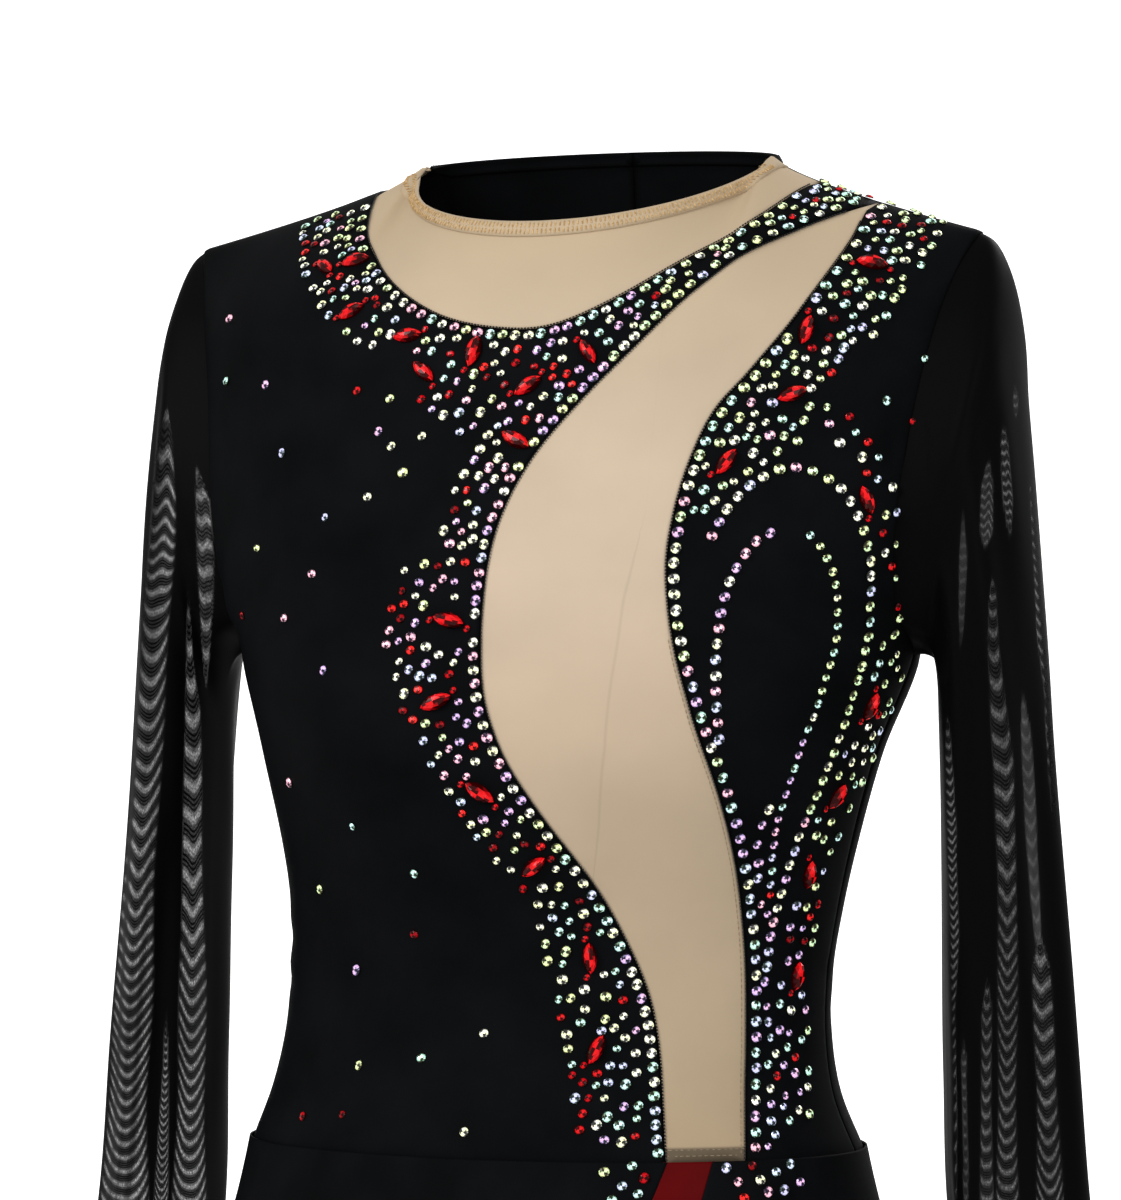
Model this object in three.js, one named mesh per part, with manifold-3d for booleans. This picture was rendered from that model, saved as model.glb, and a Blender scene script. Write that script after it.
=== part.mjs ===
// A long-sleeved figure skating dress in its worn, hollow form. All sizes in mm.
// The wearer's left is +X, the front is -Y, up is +Z. The origin is the middle of the shoulder line.
import * as THREE from "three";
import Module from "manifold-3d";

// Driving sizes
const WALL = 1.4; // stretch cloth as a wall
const SEAM = 0.3; // clear space between two pieces at a seam
const NECK_HALF_WIDTH = 84; // neck point to centre
const NECK_FRONT = { forward: -90, drop: -33 }; // lowest point of the front neck
const NECK_BACK = { forward: 46, drop: 8 }; // middle of the back neck, a little above the neck points
const SHOULDER_TIP = { x: 188, y: -22, z: -37.2 }; // end of each shoulder seam
const SHOULDER_BEND = 0.77; // below 1 the shoulder seam falls faster beside the neck
const NECK_SHARE = 0.47; // share of a panel's half width that runs along the neck
const BINDING_WIDTH = 7; // folded strip around the neck
const BINDING_RAISE = 0.5; // how far the folded strip stands proud of the panel on each side
const BUST = { x: 74, z: -262, out: 11, wide: 38, high: 34 }; // soft rise on each side of the front
const CROTCH = { half: 34, y: -26, z: -654 }; // short seam between the legs
const ARMPIT_ROW = 7; // row of the body sections where the armhole begins
const SHOULDER_ROW = 12; // the shoulder seam follows the last section
const LEG_ROW = 3; // row of the briefs' sections where the leg opening begins
const TURN = Math.PI / 180;

// Sections of the body, from the hip seam up to just below the shoulder seam.
// Columns: height in the middle, height at the side, half width, degrees swept from the middle,
// depth from the centre, centre forward, centre across. Below 90 degrees a section stops at the armhole.
const FRONT_SECTIONS = [
  [-448, -448, 143.2, 90, 98, -38, -8.4],
  [-422, -422, 132.8, 90, 93, -38, -8.6],
  [-395, -395, 128.0, 90, 88, -35, -8.5],
  [-367, -367, 127.6, 90, 87, -32, -8.1],
  [-340, -340, 129.8, 90, 91, -31, -6],
  [-312, -312, 134.4, 90, 99, -32, -4],
  [-270, -270, 144.6, 90, 108, -33, -2],
  [-225, -225, 159.4, 90, 108, -30.5, 0],
  [-207, -209, 165.0, 76.4, 105, -33.6, 0],
  [-166, -170, 172.0, 71.4, 97, -40.5, 0],
  [-110, -105, 185.0, 67.6, 100, -22, 0],
  [-68, -62, 200.0, 64.2, 110, 4, 0],
];
const BACK_SECTIONS = [
  [-448, -448, 143.2, 90, 104, -38, -8.4],
  [-422, -422, 132.8, 90, 94, -38, -8.6],
  [-395, -395, 128.0, 90, 84, -35, -8.5],
  [-367, -367, 127.6, 90, 80, -32, -8.1],
  [-340, -340, 129.8, 90, 82, -31, -6],
  [-312, -312, 134.4, 90, 88, -32, -4],
  [-270, -270, 144.6, 90, 95, -33, -2],
  [-225, -225, 159.4, 90, 97, -30.5, 0],
  [-207, -209, 165.0, 76.4, 91, -24, 0],
  [-168, -170, 175.0, 70.5, 83.5, -14.5, 0],
  [-110, -105, 185.0, 68.4, 82.3, -18.3, 0],
  [-56, -60, 200.0, 64.8, 94, -40, 0],
];
// Sections of the briefs, from the hip seam down to just above the crotch seam, same columns.
const BRIEFS_FRONT_SECTIONS = [
  [-448.3, -448.3, 143.2, 90, 98, -38, -8.4],
  [-480, -480, 147, 90, 98, -37, -6],
  [-515, -515, 151, 90, 97, -36, -4],
  [-545, -545, 153, 90, 96, -35, -2],
  [-576, -562, 152, 60, 93, -35, -1],
  [-606, -592, 143, 41, 86, -35, 0],
  [-632, -622, 120, 28, 66, -35, 0],
];
const BRIEFS_BACK_SECTIONS = [
  [-448.3, -448.3, 143.2, 90, 104, -38, -8.4],
  [-480, -480, 147, 90, 107, -37, -6],
  [-515, -515, 151, 90, 112, -36, -4],
  [-545, -545, 153, 90, 113, -35, -2],
  [-584, -566, 152, 64, 111, -35, -1],
  [-618, -600, 144, 45, 101, -35, 0],
  [-642, -632, 122, 30, 74, -35, 0],
];
// Rows of each sleeve from just outside the armhole to the wrist. The last column is how far a
// section has left the armhole's own outline for a plain oval.
// Columns: outer x, outer z, inner x, inner z, centre y, half depth, oval share, flute depth.
const RIGHT_SLEEVE = [
  [192, -42, 163.5, -225.6, -24, 46, 0.12, 0],
  [197, -53, 168, -226.8, -23, 46, 0.35, 0],
  [201, -72, 172, -229.5, -22, 45.5, 0.6, 0],
  [204.5, -102, 175.5, -235, -22, 45, 0.82, 0.3],
  [208.5, -140, 178, -245, -22, 44.5, 1, 0.8],
  [212, -180, 179.5, -262, -22, 44, 1, 1.5],
  [215.5, -225, 180.5, -286, -22, 43, 1, 2.2],
  [219.5, -280, 181.5, -318, -22, 42, 1, 2.8],
  [225, -345, 182, -362, -22, 41, 1, 3.2],
  [229.5, -405, 182.5, -411, -22, 41, 1, 3.5],
  [234.5, -471, 183, -471, -22, 41, 1, 3.8],
  [244, -540, 189, -540, -22, 41, 1, 4],
  [253, -611, 198, -611, -22, 41, 1, 4],
];
const LEFT_SLEEVE = [
  [193.5, -42, 163, -225.6, -24, 46, 0.12, 0],
  [199.5, -53, 166.5, -226.8, -23, 46, 0.35, 0],
  [203.5, -72, 168.5, -229.5, -22, 45.5, 0.6, 0],
  [205.5, -102, 170, -235, -22, 45, 0.82, 0.3],
  [209, -140, 170.8, -245, -22, 45, 1, 0.8],
  [212.5, -180, 171, -262, -22, 45, 1, 1.5],
  [216.5, -225, 171, -286, -22, 44, 1, 2.2],
  [220.5, -280, 171, -318, -22, 43, 1, 2.8],
  [225.5, -345, 171, -362, -22, 42, 1, 3.2],
  [230.5, -405, 171.5, -411, -22, 41.5, 1, 3.5],
  [236, -471, 173, -471, -22, 41, 1, 3.8],
  [246, -540, 184, -540, -22, 41, 1, 4],
  [255, -611, 198, -611, -22, 41, 1, 4],
];
// Soft upright flutes of a sleeve. Columns: degrees round from the outside, width, share of depth.
const SLEEVE_FLUTES = [
  [28, 52, 1],
  [84, 58, 0.8],
  [140, 54, 0.6],
  [205, 66, 0.7],
  [268, 58, 1],
  [326, 54, 0.85],
];
// Skirt from its waist edge to its hem. Columns: height, how far it stands off the hip seam's oval,
// flute depth, left and right edge of the red gore in degrees from the front.
const SKIRT_ROWS = [
  [-446, 2.1, 0, 34.6, 43.4],
  [-456, 3.6, 0.8, 32.6, 41.6],
  [-471, 6.6, 2.4, 29.6, 39],
  [-495, 12.6, 5.5, 25.2, 35.6],
  [-530, 20.5, 9, 20, 32.2],
  [-575, 28.5, 12, 15.6, 29.6],
  [-640, 38, 15, 11.4, 27.2],
  [-712, 47, 18, 8, 25.6],
];
// Flutes of the skirt. Columns: degrees from the front towards the wearer's left, width, share of depth.
const SKIRT_FLUTES = [
  [-4, 34, 0.9],
  [18, 20, 0.7],
  [50, 34, 1],
  [92, 38, 0.42],
  [128, 36, 0.9],
  [165, 36, 1],
  [201, 34, 0.9],
  [238, 38, 1],
  [273, 34, 0.42],
  [312, 36, 1],
];
// Edges of the front panels as seen from the front. Columns: across, height.
const YOKE_EDGE = [
  [-108, 14],
  [-104, -4],
  [-100.8, -14.6],
  [-89.1, -37.9],
  [-67.5, -58.1],
  [-37.3, -75.1],
  [-7.4, -81.4],
  [15.8, -80.6],
  [45.6, -67.5],
  [74.1, -46.8],
  [94.4, -30.1],
  [108.3, -12.3],
  [116, 2],
  [122, 14],
];
const INSERT_RIGHT_EDGE = [
  [152, -4],
  [141, -19],
  [136.5, -24],
  [122, -31.6],
  [110.2, -38.6],
  [92.8, -49.7],
  [79.6, -63.4],
  [57.7, -87.9],
  [33.8, -114.2],
  [14, -140.5],
  [0.5, -171.1],
  [-5.5, -206],
  [-4.4, -240.6],
  [4.4, -266.7],
  [20.7, -295],
  [38.9, -323.6],
  [51, -350.2],
  [60.8, -376.7],
  [66.3, -402.5],
  [71.6, -440.7],
  [73, -456],
];
const INSERT_LEFT_EDGE = [
  [136.5, -24],
  [136, -42.4],
  [123.7, -74.8],
  [105.6, -101.4],
  [92.4, -118.8],
  [83.9, -140.9],
  [78.2, -166.7],
  [76, -188.6],
  [79.1, -218.8],
  [87.3, -248.9],
  [94.5, -279.4],
  [97.2, -310.5],
  [97, -342],
  [97.2, -377.3],
  [98.9, -409.7],
  [102.1, -441.6],
  [103, -456],
];
// Lower edge of the back binding, from past the shoulder to the middle. Columns: across, height.
const BACK_BINDING_EDGE = [
  [92, 22],
  [91.6, 8],
  [90.4, -1],
  [86, -3.4],
  [76, -1.6],
  [60, 0],
  [36, 0.9],
  [0, 1.2],
];

// Colours
const BLACK_LYCRA = { color: 0x141416, roughness: 0.75, metalness: 0 };
const NUDE_MESH = { color: 0xcdb899, roughness: 0.85, metalness: 0 };
const BLACK_MESH = { color: 0x1b1b1e, roughness: 0.8, metalness: 0 };
const RED_LYCRA = { color: 0x5c0005, roughness: 0.7, metalness: 0 };

const wasm = await Module();
wasm.setup();

// A point of one body section. across runs from -1 at the right side to 1 at the left side.
function sectionPoint(section, across, side) {
  const [height, sideHeight, halfWidth, sweep, depth, centreY, centreX] = section;
  const angle = across * sweep * TURN;
  const x = centreX + halfWidth * Math.sin(angle);
  const y = centreY + side * depth * Math.cos(angle);
  const z = height + (sideHeight - height) * across * across;
  return new THREE.Vector3(x, y, z);
}

// A point of the top edge: the neck curve in the middle and the shoulder seam at each side.
function topPoint(across, side) {
  const far = Math.abs(across);
  if (far < NECK_SHARE) {
    const neck = side < 0 ? NECK_FRONT : NECK_BACK;
    const angle = (across / NECK_SHARE) * 90 * TURN;
    const inward = Math.cos(angle);
    const x = NECK_HALF_WIDTH * Math.sin(angle);
    return new THREE.Vector3(x, neck.forward * inward, neck.drop * inward);
  }
  const share = Math.min((far - NECK_SHARE) / (1 - NECK_SHARE), 1);
  const x = NECK_HALF_WIDTH + (SHOULDER_TIP.x - NECK_HALF_WIDTH) * share;
  const z = SHOULDER_TIP.z * Math.pow(share, SHOULDER_BEND);
  return new THREE.Vector3(Math.sign(across) * x, SHOULDER_TIP.y * share, z);
}

// A point of the crotch seam.
function crotchPoint(across) {
  return new THREE.Vector3(CROTCH.half * across, CROTCH.y, CROTCH.z);
}

function smooth(x) {
  const t = Math.min(Math.max(x, 0), 1);
  return t * t * (3 - 2 * t);
}

// The point at "up" on the smooth curve through the points, where 0 is the second point.
function along(points, up) {
  const last = points.length - 3;
  const place = Math.min(Math.max(up, 0), last);
  const i = Math.min(Math.floor(place), last - 1);
  const t = place - i;
  const [before, start, end, after] = points.slice(i, i + 4);
  const step = (a, b) => Math.max(Math.sqrt(a.distanceTo(b)), 1e-4);
  const d0 = step(before, start);
  const d1 = step(start, end);
  const d2 = step(end, after);
  const slope = (a, b, c, da, db) => {
    const first = b.clone().sub(a).divideScalar(da);
    const both = c.clone().sub(a).divideScalar(da + db);
    const second = c.clone().sub(b).divideScalar(db);
    return first.sub(both).add(second).multiplyScalar(d1);
  };
  const leave = slope(before, start, end, d0, d1);
  const arrive = slope(start, end, after, d1, d2);
  return new THREE.Vector3()
    .addScaledVector(start, 2 * t ** 3 - 3 * t ** 2 + 1)
    .addScaledVector(leave, t ** 3 - 2 * t ** 2 + t)
    .addScaledVector(end, 3 * t ** 2 - 2 * t ** 3)
    .addScaledVector(arrive, t ** 3 - t ** 2);
}

// The front or back of the bodice. up is the row number of its sections; the top edge comes last.
function bodicePoint(side, across, up) {
  const own = side < 0 ? FRONT_SECTIONS : BACK_SECTIONS;
  const other = side < 0 ? BACK_SECTIONS : FRONT_SECTIONS;
  const points = own.map((section) => sectionPoint(section, across, side));
  const top = topPoint(across, side);
  const overShoulder = sectionPoint(other[other.length - 1], across, -side);
  const standing = top.clone().add(new THREE.Vector3(0, -side * 6, 24));
  const share = smooth((Math.abs(across) - NECK_SHARE + 0.12) / 0.2);
  if (up <= ARMPIT_ROW) shareNext(points, other, ARMPIT_ROW + 1, across, side);
  points.push(top, standing.lerp(overShoulder, share));
  points.unshift(points[0].clone().multiplyScalar(2).sub(points[1]));
  const point = along(points, up);
  if (side < 0) {
    const x = (Math.abs(point.x) - BUST.x) / BUST.wide;
    const z = (point.z - BUST.z) / BUST.high;
    point.y -= BUST.out * Math.exp(-(x * x + z * z) / 2);
  }
  return point;
}

// Near the side seam, both panels head for the same place above its end, so their edges stay together.
function shareNext(points, other, row, across, side) {
  const facing = sectionPoint(other[row], across, -side);
  const middle = points[row].clone().add(facing).divideScalar(2);
  points[row].lerp(middle, smooth((Math.abs(across) - 0.75) / 0.25));
}

// The front or back of the briefs, from the hip seam down to the crotch seam.
function briefsPoint(side, across, down) {
  const own = side < 0 ? BRIEFS_FRONT_SECTIONS : BRIEFS_BACK_SECTIONS;
  const other = side < 0 ? BRIEFS_BACK_SECTIONS : BRIEFS_FRONT_SECTIONS;
  const points = own.map((section) => sectionPoint(section, across, side));
  if (down <= LEG_ROW) shareNext(points, other, LEG_ROW + 1, across, side);
  points.push(crotchPoint(across));
  points.push(sectionPoint(other[other.length - 1], across, -side));
  points.unshift(points[0].clone().multiplyScalar(2).sub(points[1]));
  return along(points, down);
}

// The outward direction of a surface at (u, v), worked out from near points.
function outward(surface, u, v, sign) {
  const step = 0.004;
  const alongU = surface(u + step, v).sub(surface(u - step, v));
  const alongV = surface(u, v + step).sub(surface(u, v - step));
  return alongU.cross(alongV).normalize().multiplyScalar(sign);
}

// A closed wall between two grids of points with the same rows and columns.
function wallBetween(outer, inner) {
  const rows = outer.length;
  const columns = outer[0].length;
  const positions = [];
  const faces = [];
  const outerId = (r, c) => r * columns + c;
  const innerId = (r, c) => rows * columns + r * columns + c;
  for (const grid of [outer, inner])
    for (const row of grid)
      for (const p of row) positions.push(p.x, p.y, p.z);
  const quad = (a, b, c, d) => faces.push(a, b, c, a, c, d);
  for (let r = 0; r + 1 < rows; r++)
    for (let c = 0; c + 1 < columns; c++) {
      quad(outerId(r, c), outerId(r, c + 1), outerId(r + 1, c + 1), outerId(r + 1, c));
      quad(innerId(r, c), innerId(r + 1, c), innerId(r + 1, c + 1), innerId(r, c + 1));
    }
  for (let c = 0; c + 1 < columns; c++) {
    quad(outerId(0, c), innerId(0, c), innerId(0, c + 1), outerId(0, c + 1));
    quad(outerId(rows - 1, c + 1), innerId(rows - 1, c + 1), innerId(rows - 1, c), outerId(rows - 1, c));
  }
  for (let r = 0; r + 1 < rows; r++) {
    quad(outerId(r + 1, 0), innerId(r + 1, 0), innerId(r, 0), outerId(r, 0));
    quad(outerId(r, columns - 1), innerId(r, columns - 1), innerId(r + 1, columns - 1), outerId(r + 1, columns - 1));
  }
  return solid(positions, faces);
}

// A closed tube wall: like wallBetween, but the last column meets the first.
function tubeBetween(outer, inner) {
  const rows = outer.length;
  const columns = outer[0].length;
  const positions = [];
  const faces = [];
  const id = (layer, r, c) => (layer * rows + r) * columns + (c % columns);
  for (const grid of [outer, inner])
    for (const row of grid)
      for (const p of row) positions.push(p.x, p.y, p.z);
  const quad = (a, b, c, d) => faces.push(a, b, c, a, c, d);
  for (let c = 0; c < columns; c++) {
    for (let r = 0; r + 1 < rows; r++) {
      quad(id(0, r, c), id(0, r, c + 1), id(0, r + 1, c + 1), id(0, r + 1, c));
      quad(id(1, r, c), id(1, r + 1, c), id(1, r + 1, c + 1), id(1, r, c + 1));
    }
    quad(id(0, 0, c), id(1, 0, c), id(1, 0, c + 1), id(0, 0, c + 1));
    quad(id(0, rows - 1, c + 1), id(1, rows - 1, c + 1), id(1, rows - 1, c), id(0, rows - 1, c));
  }
  return solid(positions, faces);
}

// A solid from points and triangles, turned to face outward.
function solid(positions, faces) {
  let signed = 0;
  const at = (i) => new THREE.Vector3(positions[3 * i], positions[3 * i + 1], positions[3 * i + 2]);
  for (let i = 0; i < faces.length; i += 3)
    signed += at(faces[i]).dot(at(faces[i + 1]).cross(at(faces[i + 2])));
  if (signed < 0)
    for (let i = 0; i < faces.length; i += 3)
      [faces[i + 1], faces[i + 2]] = [faces[i + 2], faces[i + 1]];
  const mesh = new wasm.Mesh({
    numProp: 3,
    vertProperties: new Float32Array(positions),
    triVerts: new Uint32Array(faces),
  });
  return new wasm.Manifold(mesh);
}

// Evenly spaced values from start to end.
function spaced(start, end, count) {
  return Array.from({ length: count + 1 }, (_, i) => start + ((end - start) * i) / count);
}

// Row places of a bodice panel: single steps below the armpit, finer ones beside the armhole.
const BODICE_UP = [0, 1, 2, 3, 4, 5, 5.6, 6.3, 7, 7.5, 8, 8.5, 9, 9.4, 9.8, 10.2, 10.6, 11, 11.4, 11.7, 12];
const EDGE = 1 - SEAM / 2 / 157; // half a seam's space short of the side, as a share of the half width
const SHOULDER_EDGE = SHOULDER_ROW - SEAM / 2 / 33;

// The shared outward direction along the shoulder seam, so that front and back meet face to face.
function bodiceOutward(side, across, up) {
  const sign = side < 0 ? 1 : -1;
  const near = (a, u) => bodicePoint(side, Math.min(Math.max(a, -1), 1), Math.min(u, SHOULDER_ROW));
  const own = outward(near, across, up, sign);
  if (up < 0.01) return own.setZ(0).normalize();
  const atSeam = up > SHOULDER_ROW - 0.01 && Math.abs(across) > NECK_SHARE - 0.01;
  if (!atSeam) return own;
  const far = (a, u) => bodicePoint(-side, Math.min(Math.max(a, -1), 1), Math.min(u, SHOULDER_ROW));
  return own.add(outward(far, across, up, -sign)).normalize();
}

// The whole front or back as one wall, from "raise" outside the panel surface to "depth" inside it.
function bodiceWall(side, raise, depth) {
  const neckColumns = spaced(-NECK_SHARE, NECK_SHARE, 10);
  const shoulderColumns = spaced(NECK_SHARE, EDGE, 6).slice(1);
  const columns = [...shoulderColumns.map((a) => -a).reverse(), ...neckColumns, ...shoulderColumns];
  const rows = BODICE_UP.map((up) => Math.min(up, SHOULDER_EDGE));
  const grid = (move) =>
    rows.map((up) =>
      columns.map((across) => {
        const direction = bodiceOutward(side, across, up);
        return bodicePoint(side, across, up).addScaledVector(direction, move);
      }),
    );
  return wallBetween(grid(raise), grid(-depth));
}

// A smooth line through table rows, seen from the front.
function edgeLine(table, count) {
  const curve = new THREE.SplineCurve(table.map(([x, z]) => new THREE.Vector2(x, z)));
  return curve.getPoints(count);
}

// A block that stands through the dress from front to back over a flat outline.
function standingBlock(outline, front, back) {
  const area = (points) => THREE.ShapeUtils.area(points);
  if (area(outline) < 0) outline = [...outline].reverse();
  const triangles = THREE.ShapeUtils.triangulateShape(outline, []).map(([a, b, c]) =>
    area([outline[a], outline[b], outline[c]]) < 0 ? [a, c, b] : [a, b, c],
  );
  const n = outline.length;
  const positions = [];
  for (const y of [front, back]) for (const p of outline) positions.push(p.x, y, p.y);
  const faces = [];
  for (const [a, b, c] of triangles) {
    faces.push(a, b, c);
    faces.push(n + a, n + c, n + b);
  }
  for (let i = 0; i < n; i++) {
    const j = (i + 1) % n;
    faces.push(i, n + i, n + j, i, n + j, j);
  }
  return solid(positions, faces);
}

// A thin upright block along a line: what it removes is the space of a seam.
function seamCut(line, front, back) {
  const left = [];
  const right = [];
  line.forEach((p, i) => {
    const next = line[Math.min(i + 1, line.length - 1)];
    const previous = line[Math.max(i - 1, 0)];
    const run = next.clone().sub(previous).normalize();
    const aside = new THREE.Vector2(-run.y, run.x).multiplyScalar(SEAM / 2);
    left.push(p.clone().add(aside));
    right.push(p.clone().sub(aside));
  });
  return standingBlock([...left, ...right.reverse()], front, back);
}

// The neck's lower edge of binding, seen from the front, with ends that run up past the shoulder.
function bindingLine(neck) {
  const line = [];
  for (const angle of spaced(-90, 90, 20)) {
    const a = angle * TURN;
    const across = (NECK_HALF_WIDTH + BINDING_WIDTH) * Math.sin(a);
    line.push(new THREE.Vector2(across, (neck.drop - BINDING_WIDTH) * Math.cos(a)));
  }
  const reach = NECK_HALF_WIDTH + BINDING_WIDTH;
  line.unshift(new THREE.Vector2(-reach, 30));
  line.push(new THREE.Vector2(reach, 30));
  return line;
}

// The parts of a wall after it is cut, each with the point in its middle.
function partsOf(wall) {
  return wall.decompose().map((part) => {
    const box = part.boundingBox();
    const middle = new THREE.Vector3().fromArray(box.min);
    middle.add(new THREE.Vector3().fromArray(box.max)).divideScalar(2);
    return { part, box, middle, size: part.volume() };
  });
}

const FRONT_REACH = [-190, 60];
const BACK_REACH = [-90, 120];

function frontPanels() {
  const cuts = [
    seamCut(edgeLine(YOKE_EDGE, 34), ...FRONT_REACH),
    seamCut(edgeLine(INSERT_RIGHT_EDGE, 46), ...FRONT_REACH),
    seamCut(edgeLine(INSERT_LEFT_EDGE, 36), ...FRONT_REACH),
  ];
  const inside = standingBlock(bindingLine(NECK_FRONT), ...FRONT_REACH);
  const neckSeam = seamCut(bindingLine(NECK_FRONT), ...FRONT_REACH);
  let panels = bodiceWall(-1, 0, WALL).subtract(inside).subtract(neckSeam);
  for (const cut of cuts) panels = panels.subtract(cut);
  const binding = bodiceWall(-1, BINDING_RAISE, WALL + BINDING_RAISE).intersect(inside).subtract(neckSeam);
  return { panels: partsOf(panels), binding: partsOf(binding) };
}

function backPanels() {
  const centre = seamCut([new THREE.Vector2(0, -470), new THREE.Vector2(0, 60)], ...BACK_REACH);
  const line = bindingBackLine();
  const inside = standingBlock(line, ...BACK_REACH);
  const neckSeam = seamCut(line, ...BACK_REACH);
  const panels = bodiceWall(1, 0, WALL).subtract(inside).subtract(neckSeam).subtract(centre);
  const wide = bodiceWall(1, BINDING_RAISE, WALL + BINDING_RAISE);
  const binding = wide.intersect(inside).subtract(neckSeam).subtract(centre);
  return { panels: partsOf(panels), binding: partsOf(binding) };
}

// The lower edge of the back binding, seen from behind, the same on both sides.
function bindingBackLine() {
  const right = BACK_BINDING_EDGE.map(([across, height]) => [-across, height]);
  const left = [...BACK_BINDING_EDGE].reverse().slice(1);
  return edgeLine([...right, ...left], 44);
}

// The armhole as a loop: from the shoulder tip down the front edge, then up the back edge.
function armholeLoop(hand) {
  const rows = BODICE_UP.filter((up) => up >= ARMPIT_ROW);
  const down = [...rows].reverse().map((up) => ({ side: -1, up }));
  const rise = rows.slice(1, -1).map((up) => ({ side: 1, up }));
  return [...down, ...rise].map(({ side, up }) => {
    const point = bodicePoint(side, hand, up);
    const out = bodiceOutward(side, hand, Math.min(up, SHOULDER_EDGE));
    const within = bodicePoint(side, hand * 0.985, up);
    let away = point.clone().sub(within);
    if (up < ARMPIT_ROW + 0.6) away.lerp(new THREE.Vector3(0, 0, away.length()), 1 - (up - ARMPIT_ROW) / 0.6);
    away = away.addScaledVector(out, -away.dot(out)).normalize();
    return { point, out, away, angle: 0 };
  });
}

// Share of a sleeve's flutes at an angle from the outside of the arm.
function fluteShare(table, degrees) {
  let share = 0;
  for (const [middle, width, depth] of table) {
    const off = Math.abs(((degrees - middle + 540) % 360) - 180) / (width / 2);
    if (off < 1) share += depth * 0.5 * (1 + Math.cos(Math.PI * off));
  }
  return share;
}

function sleeve(hand, rows) {
  const loop = armholeLoop(hand);
  const top = loop[0].point;
  const low = loop[BODICE_UP.filter((up) => up >= ARMPIT_ROW).length - 1].point;
  const chord = low.clone().sub(top);
  const chordLength = Math.hypot(chord.x, chord.z);
  const run = { x: chord.x / chordLength, z: chord.z / chordLength };
  const lengths = [0];
  loop.forEach((p, i) => {
    const next = loop[(i + 1) % loop.length].point;
    lengths.push(lengths[i] + p.point.distanceTo(next));
  });
  const half = lengths[BODICE_UP.filter((up) => up >= ARMPIT_ROW).length - 1];
  const whole = lengths[loop.length];
  loop.forEach((p, i) => {
    const share = lengths[i] < half ? lengths[i] / half / 2 : 0.5 + (lengths[i] - half) / (whole - half) / 2;
    p.angle = share * 2 * Math.PI;
    const dx = p.point.x - top.x;
    const dz = p.point.z - top.z;
    p.height = (dx * run.x + dz * run.z) / chordLength;
    p.aside = hand * (dx * run.z - dz * run.x) * -1;
  });
  const surface = (angle, place, p) => {
    const i = Math.min(Math.max(Math.floor(place), 0), rows.length - 1);
    const j = Math.min(i + 1, rows.length - 1);
    const row = rows[i].map((value, k) => value + (rows[j][k] - value) * (place - i));
    const [outerX, outerZ, innerX, innerZ, centreY, halfDepth, oval, flute] = row;
    const ovalHeight = (1 - Math.cos(angle)) / 2;
    const height = p.height + (ovalHeight - p.height) * oval;
    const ovalY = centreY - halfDepth * Math.sin(angle);
    const y = p.point.y + (ovalY - p.point.y) * oval;
    const spanX = innerX - outerX;
    const spanZ = innerZ - outerZ;
    const span = Math.hypot(spanX, spanZ);
    const aside = p.aside * (1 - oval);
    const x = outerX + spanX * height + (spanZ / span) * aside;
    const z = outerZ + spanZ * height - (spanX / span) * aside;
    const point = new THREE.Vector3(x, y, z);
    const share = fluteShare(SLEEVE_FLUTES, (angle / TURN + (hand < 0 ? 0 : 24)) % 360);
    const middle = new THREE.Vector3((outerX + innerX) / 2, centreY, (outerZ + innerZ) / 2);
    const outwards = point.clone().sub(middle).normalize();
    point.addScaledVector(outwards, flute * (share - 0.5));
    point.x *= hand;
    return point;
  };
  const outer = [loop.map((p) => p.point.clone().addScaledVector(p.away, SEAM))];
  const inner = [loop.map((p, i) => outer[0][i].clone().addScaledVector(p.out, -WALL))];
  rows.forEach((_, r) => {
    const line = loop.map((p) => surface(p.angle, r, p));
    const before = r === 0 ? outer[0] : loop.map((p) => surface(p.angle, r - 1, p));
    const after = r + 1 < rows.length ? loop.map((p) => surface(p.angle, r + 1, p)) : line;
    const n = loop.length;
    const insideLine = line.map((point, i) => {
      const around = line[(i + 1) % n].clone().sub(line[(i + n - 1) % n]);
      const downward = after[i].clone().sub(before[i]);
      const out = downward.cross(around).normalize().multiplyScalar(-hand);
      return point.clone().addScaledVector(out, -WALL);
    });
    outer.push(line);
    inner.push(insideLine);
  });
  return tubeBetween(outer, inner);
}

// The skirt's surface. degrees run from the front towards the wearer's left, down is the row number.
function skirtPoint(degrees, down) {
  const i = Math.min(Math.floor(Math.max(down, 0)), SKIRT_ROWS.length - 2);
  const t = down - i;
  const row = SKIRT_ROWS[i].map((value, k) => value + (SKIRT_ROWS[i + 1][k] - value) * t);
  const [height, off, flute] = row;
  const [, , halfWidth, , frontDepth, centreY, centreX] = FRONT_SECTIONS[0];
  const backDepth = BACK_SECTIONS[0][4];
  const angle = degrees * TURN;
  const depth = Math.cos(angle) > 0 ? frontDepth : backDepth;
  const wave = flute * fluteShare(SKIRT_FLUTES, (degrees + 720) % 360);
  const x = centreX + (halfWidth + off + wave) * Math.sin(angle);
  const y = centreY - (depth + off + wave) * Math.cos(angle);
  return new THREE.Vector3(x, y, height);
}

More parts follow.
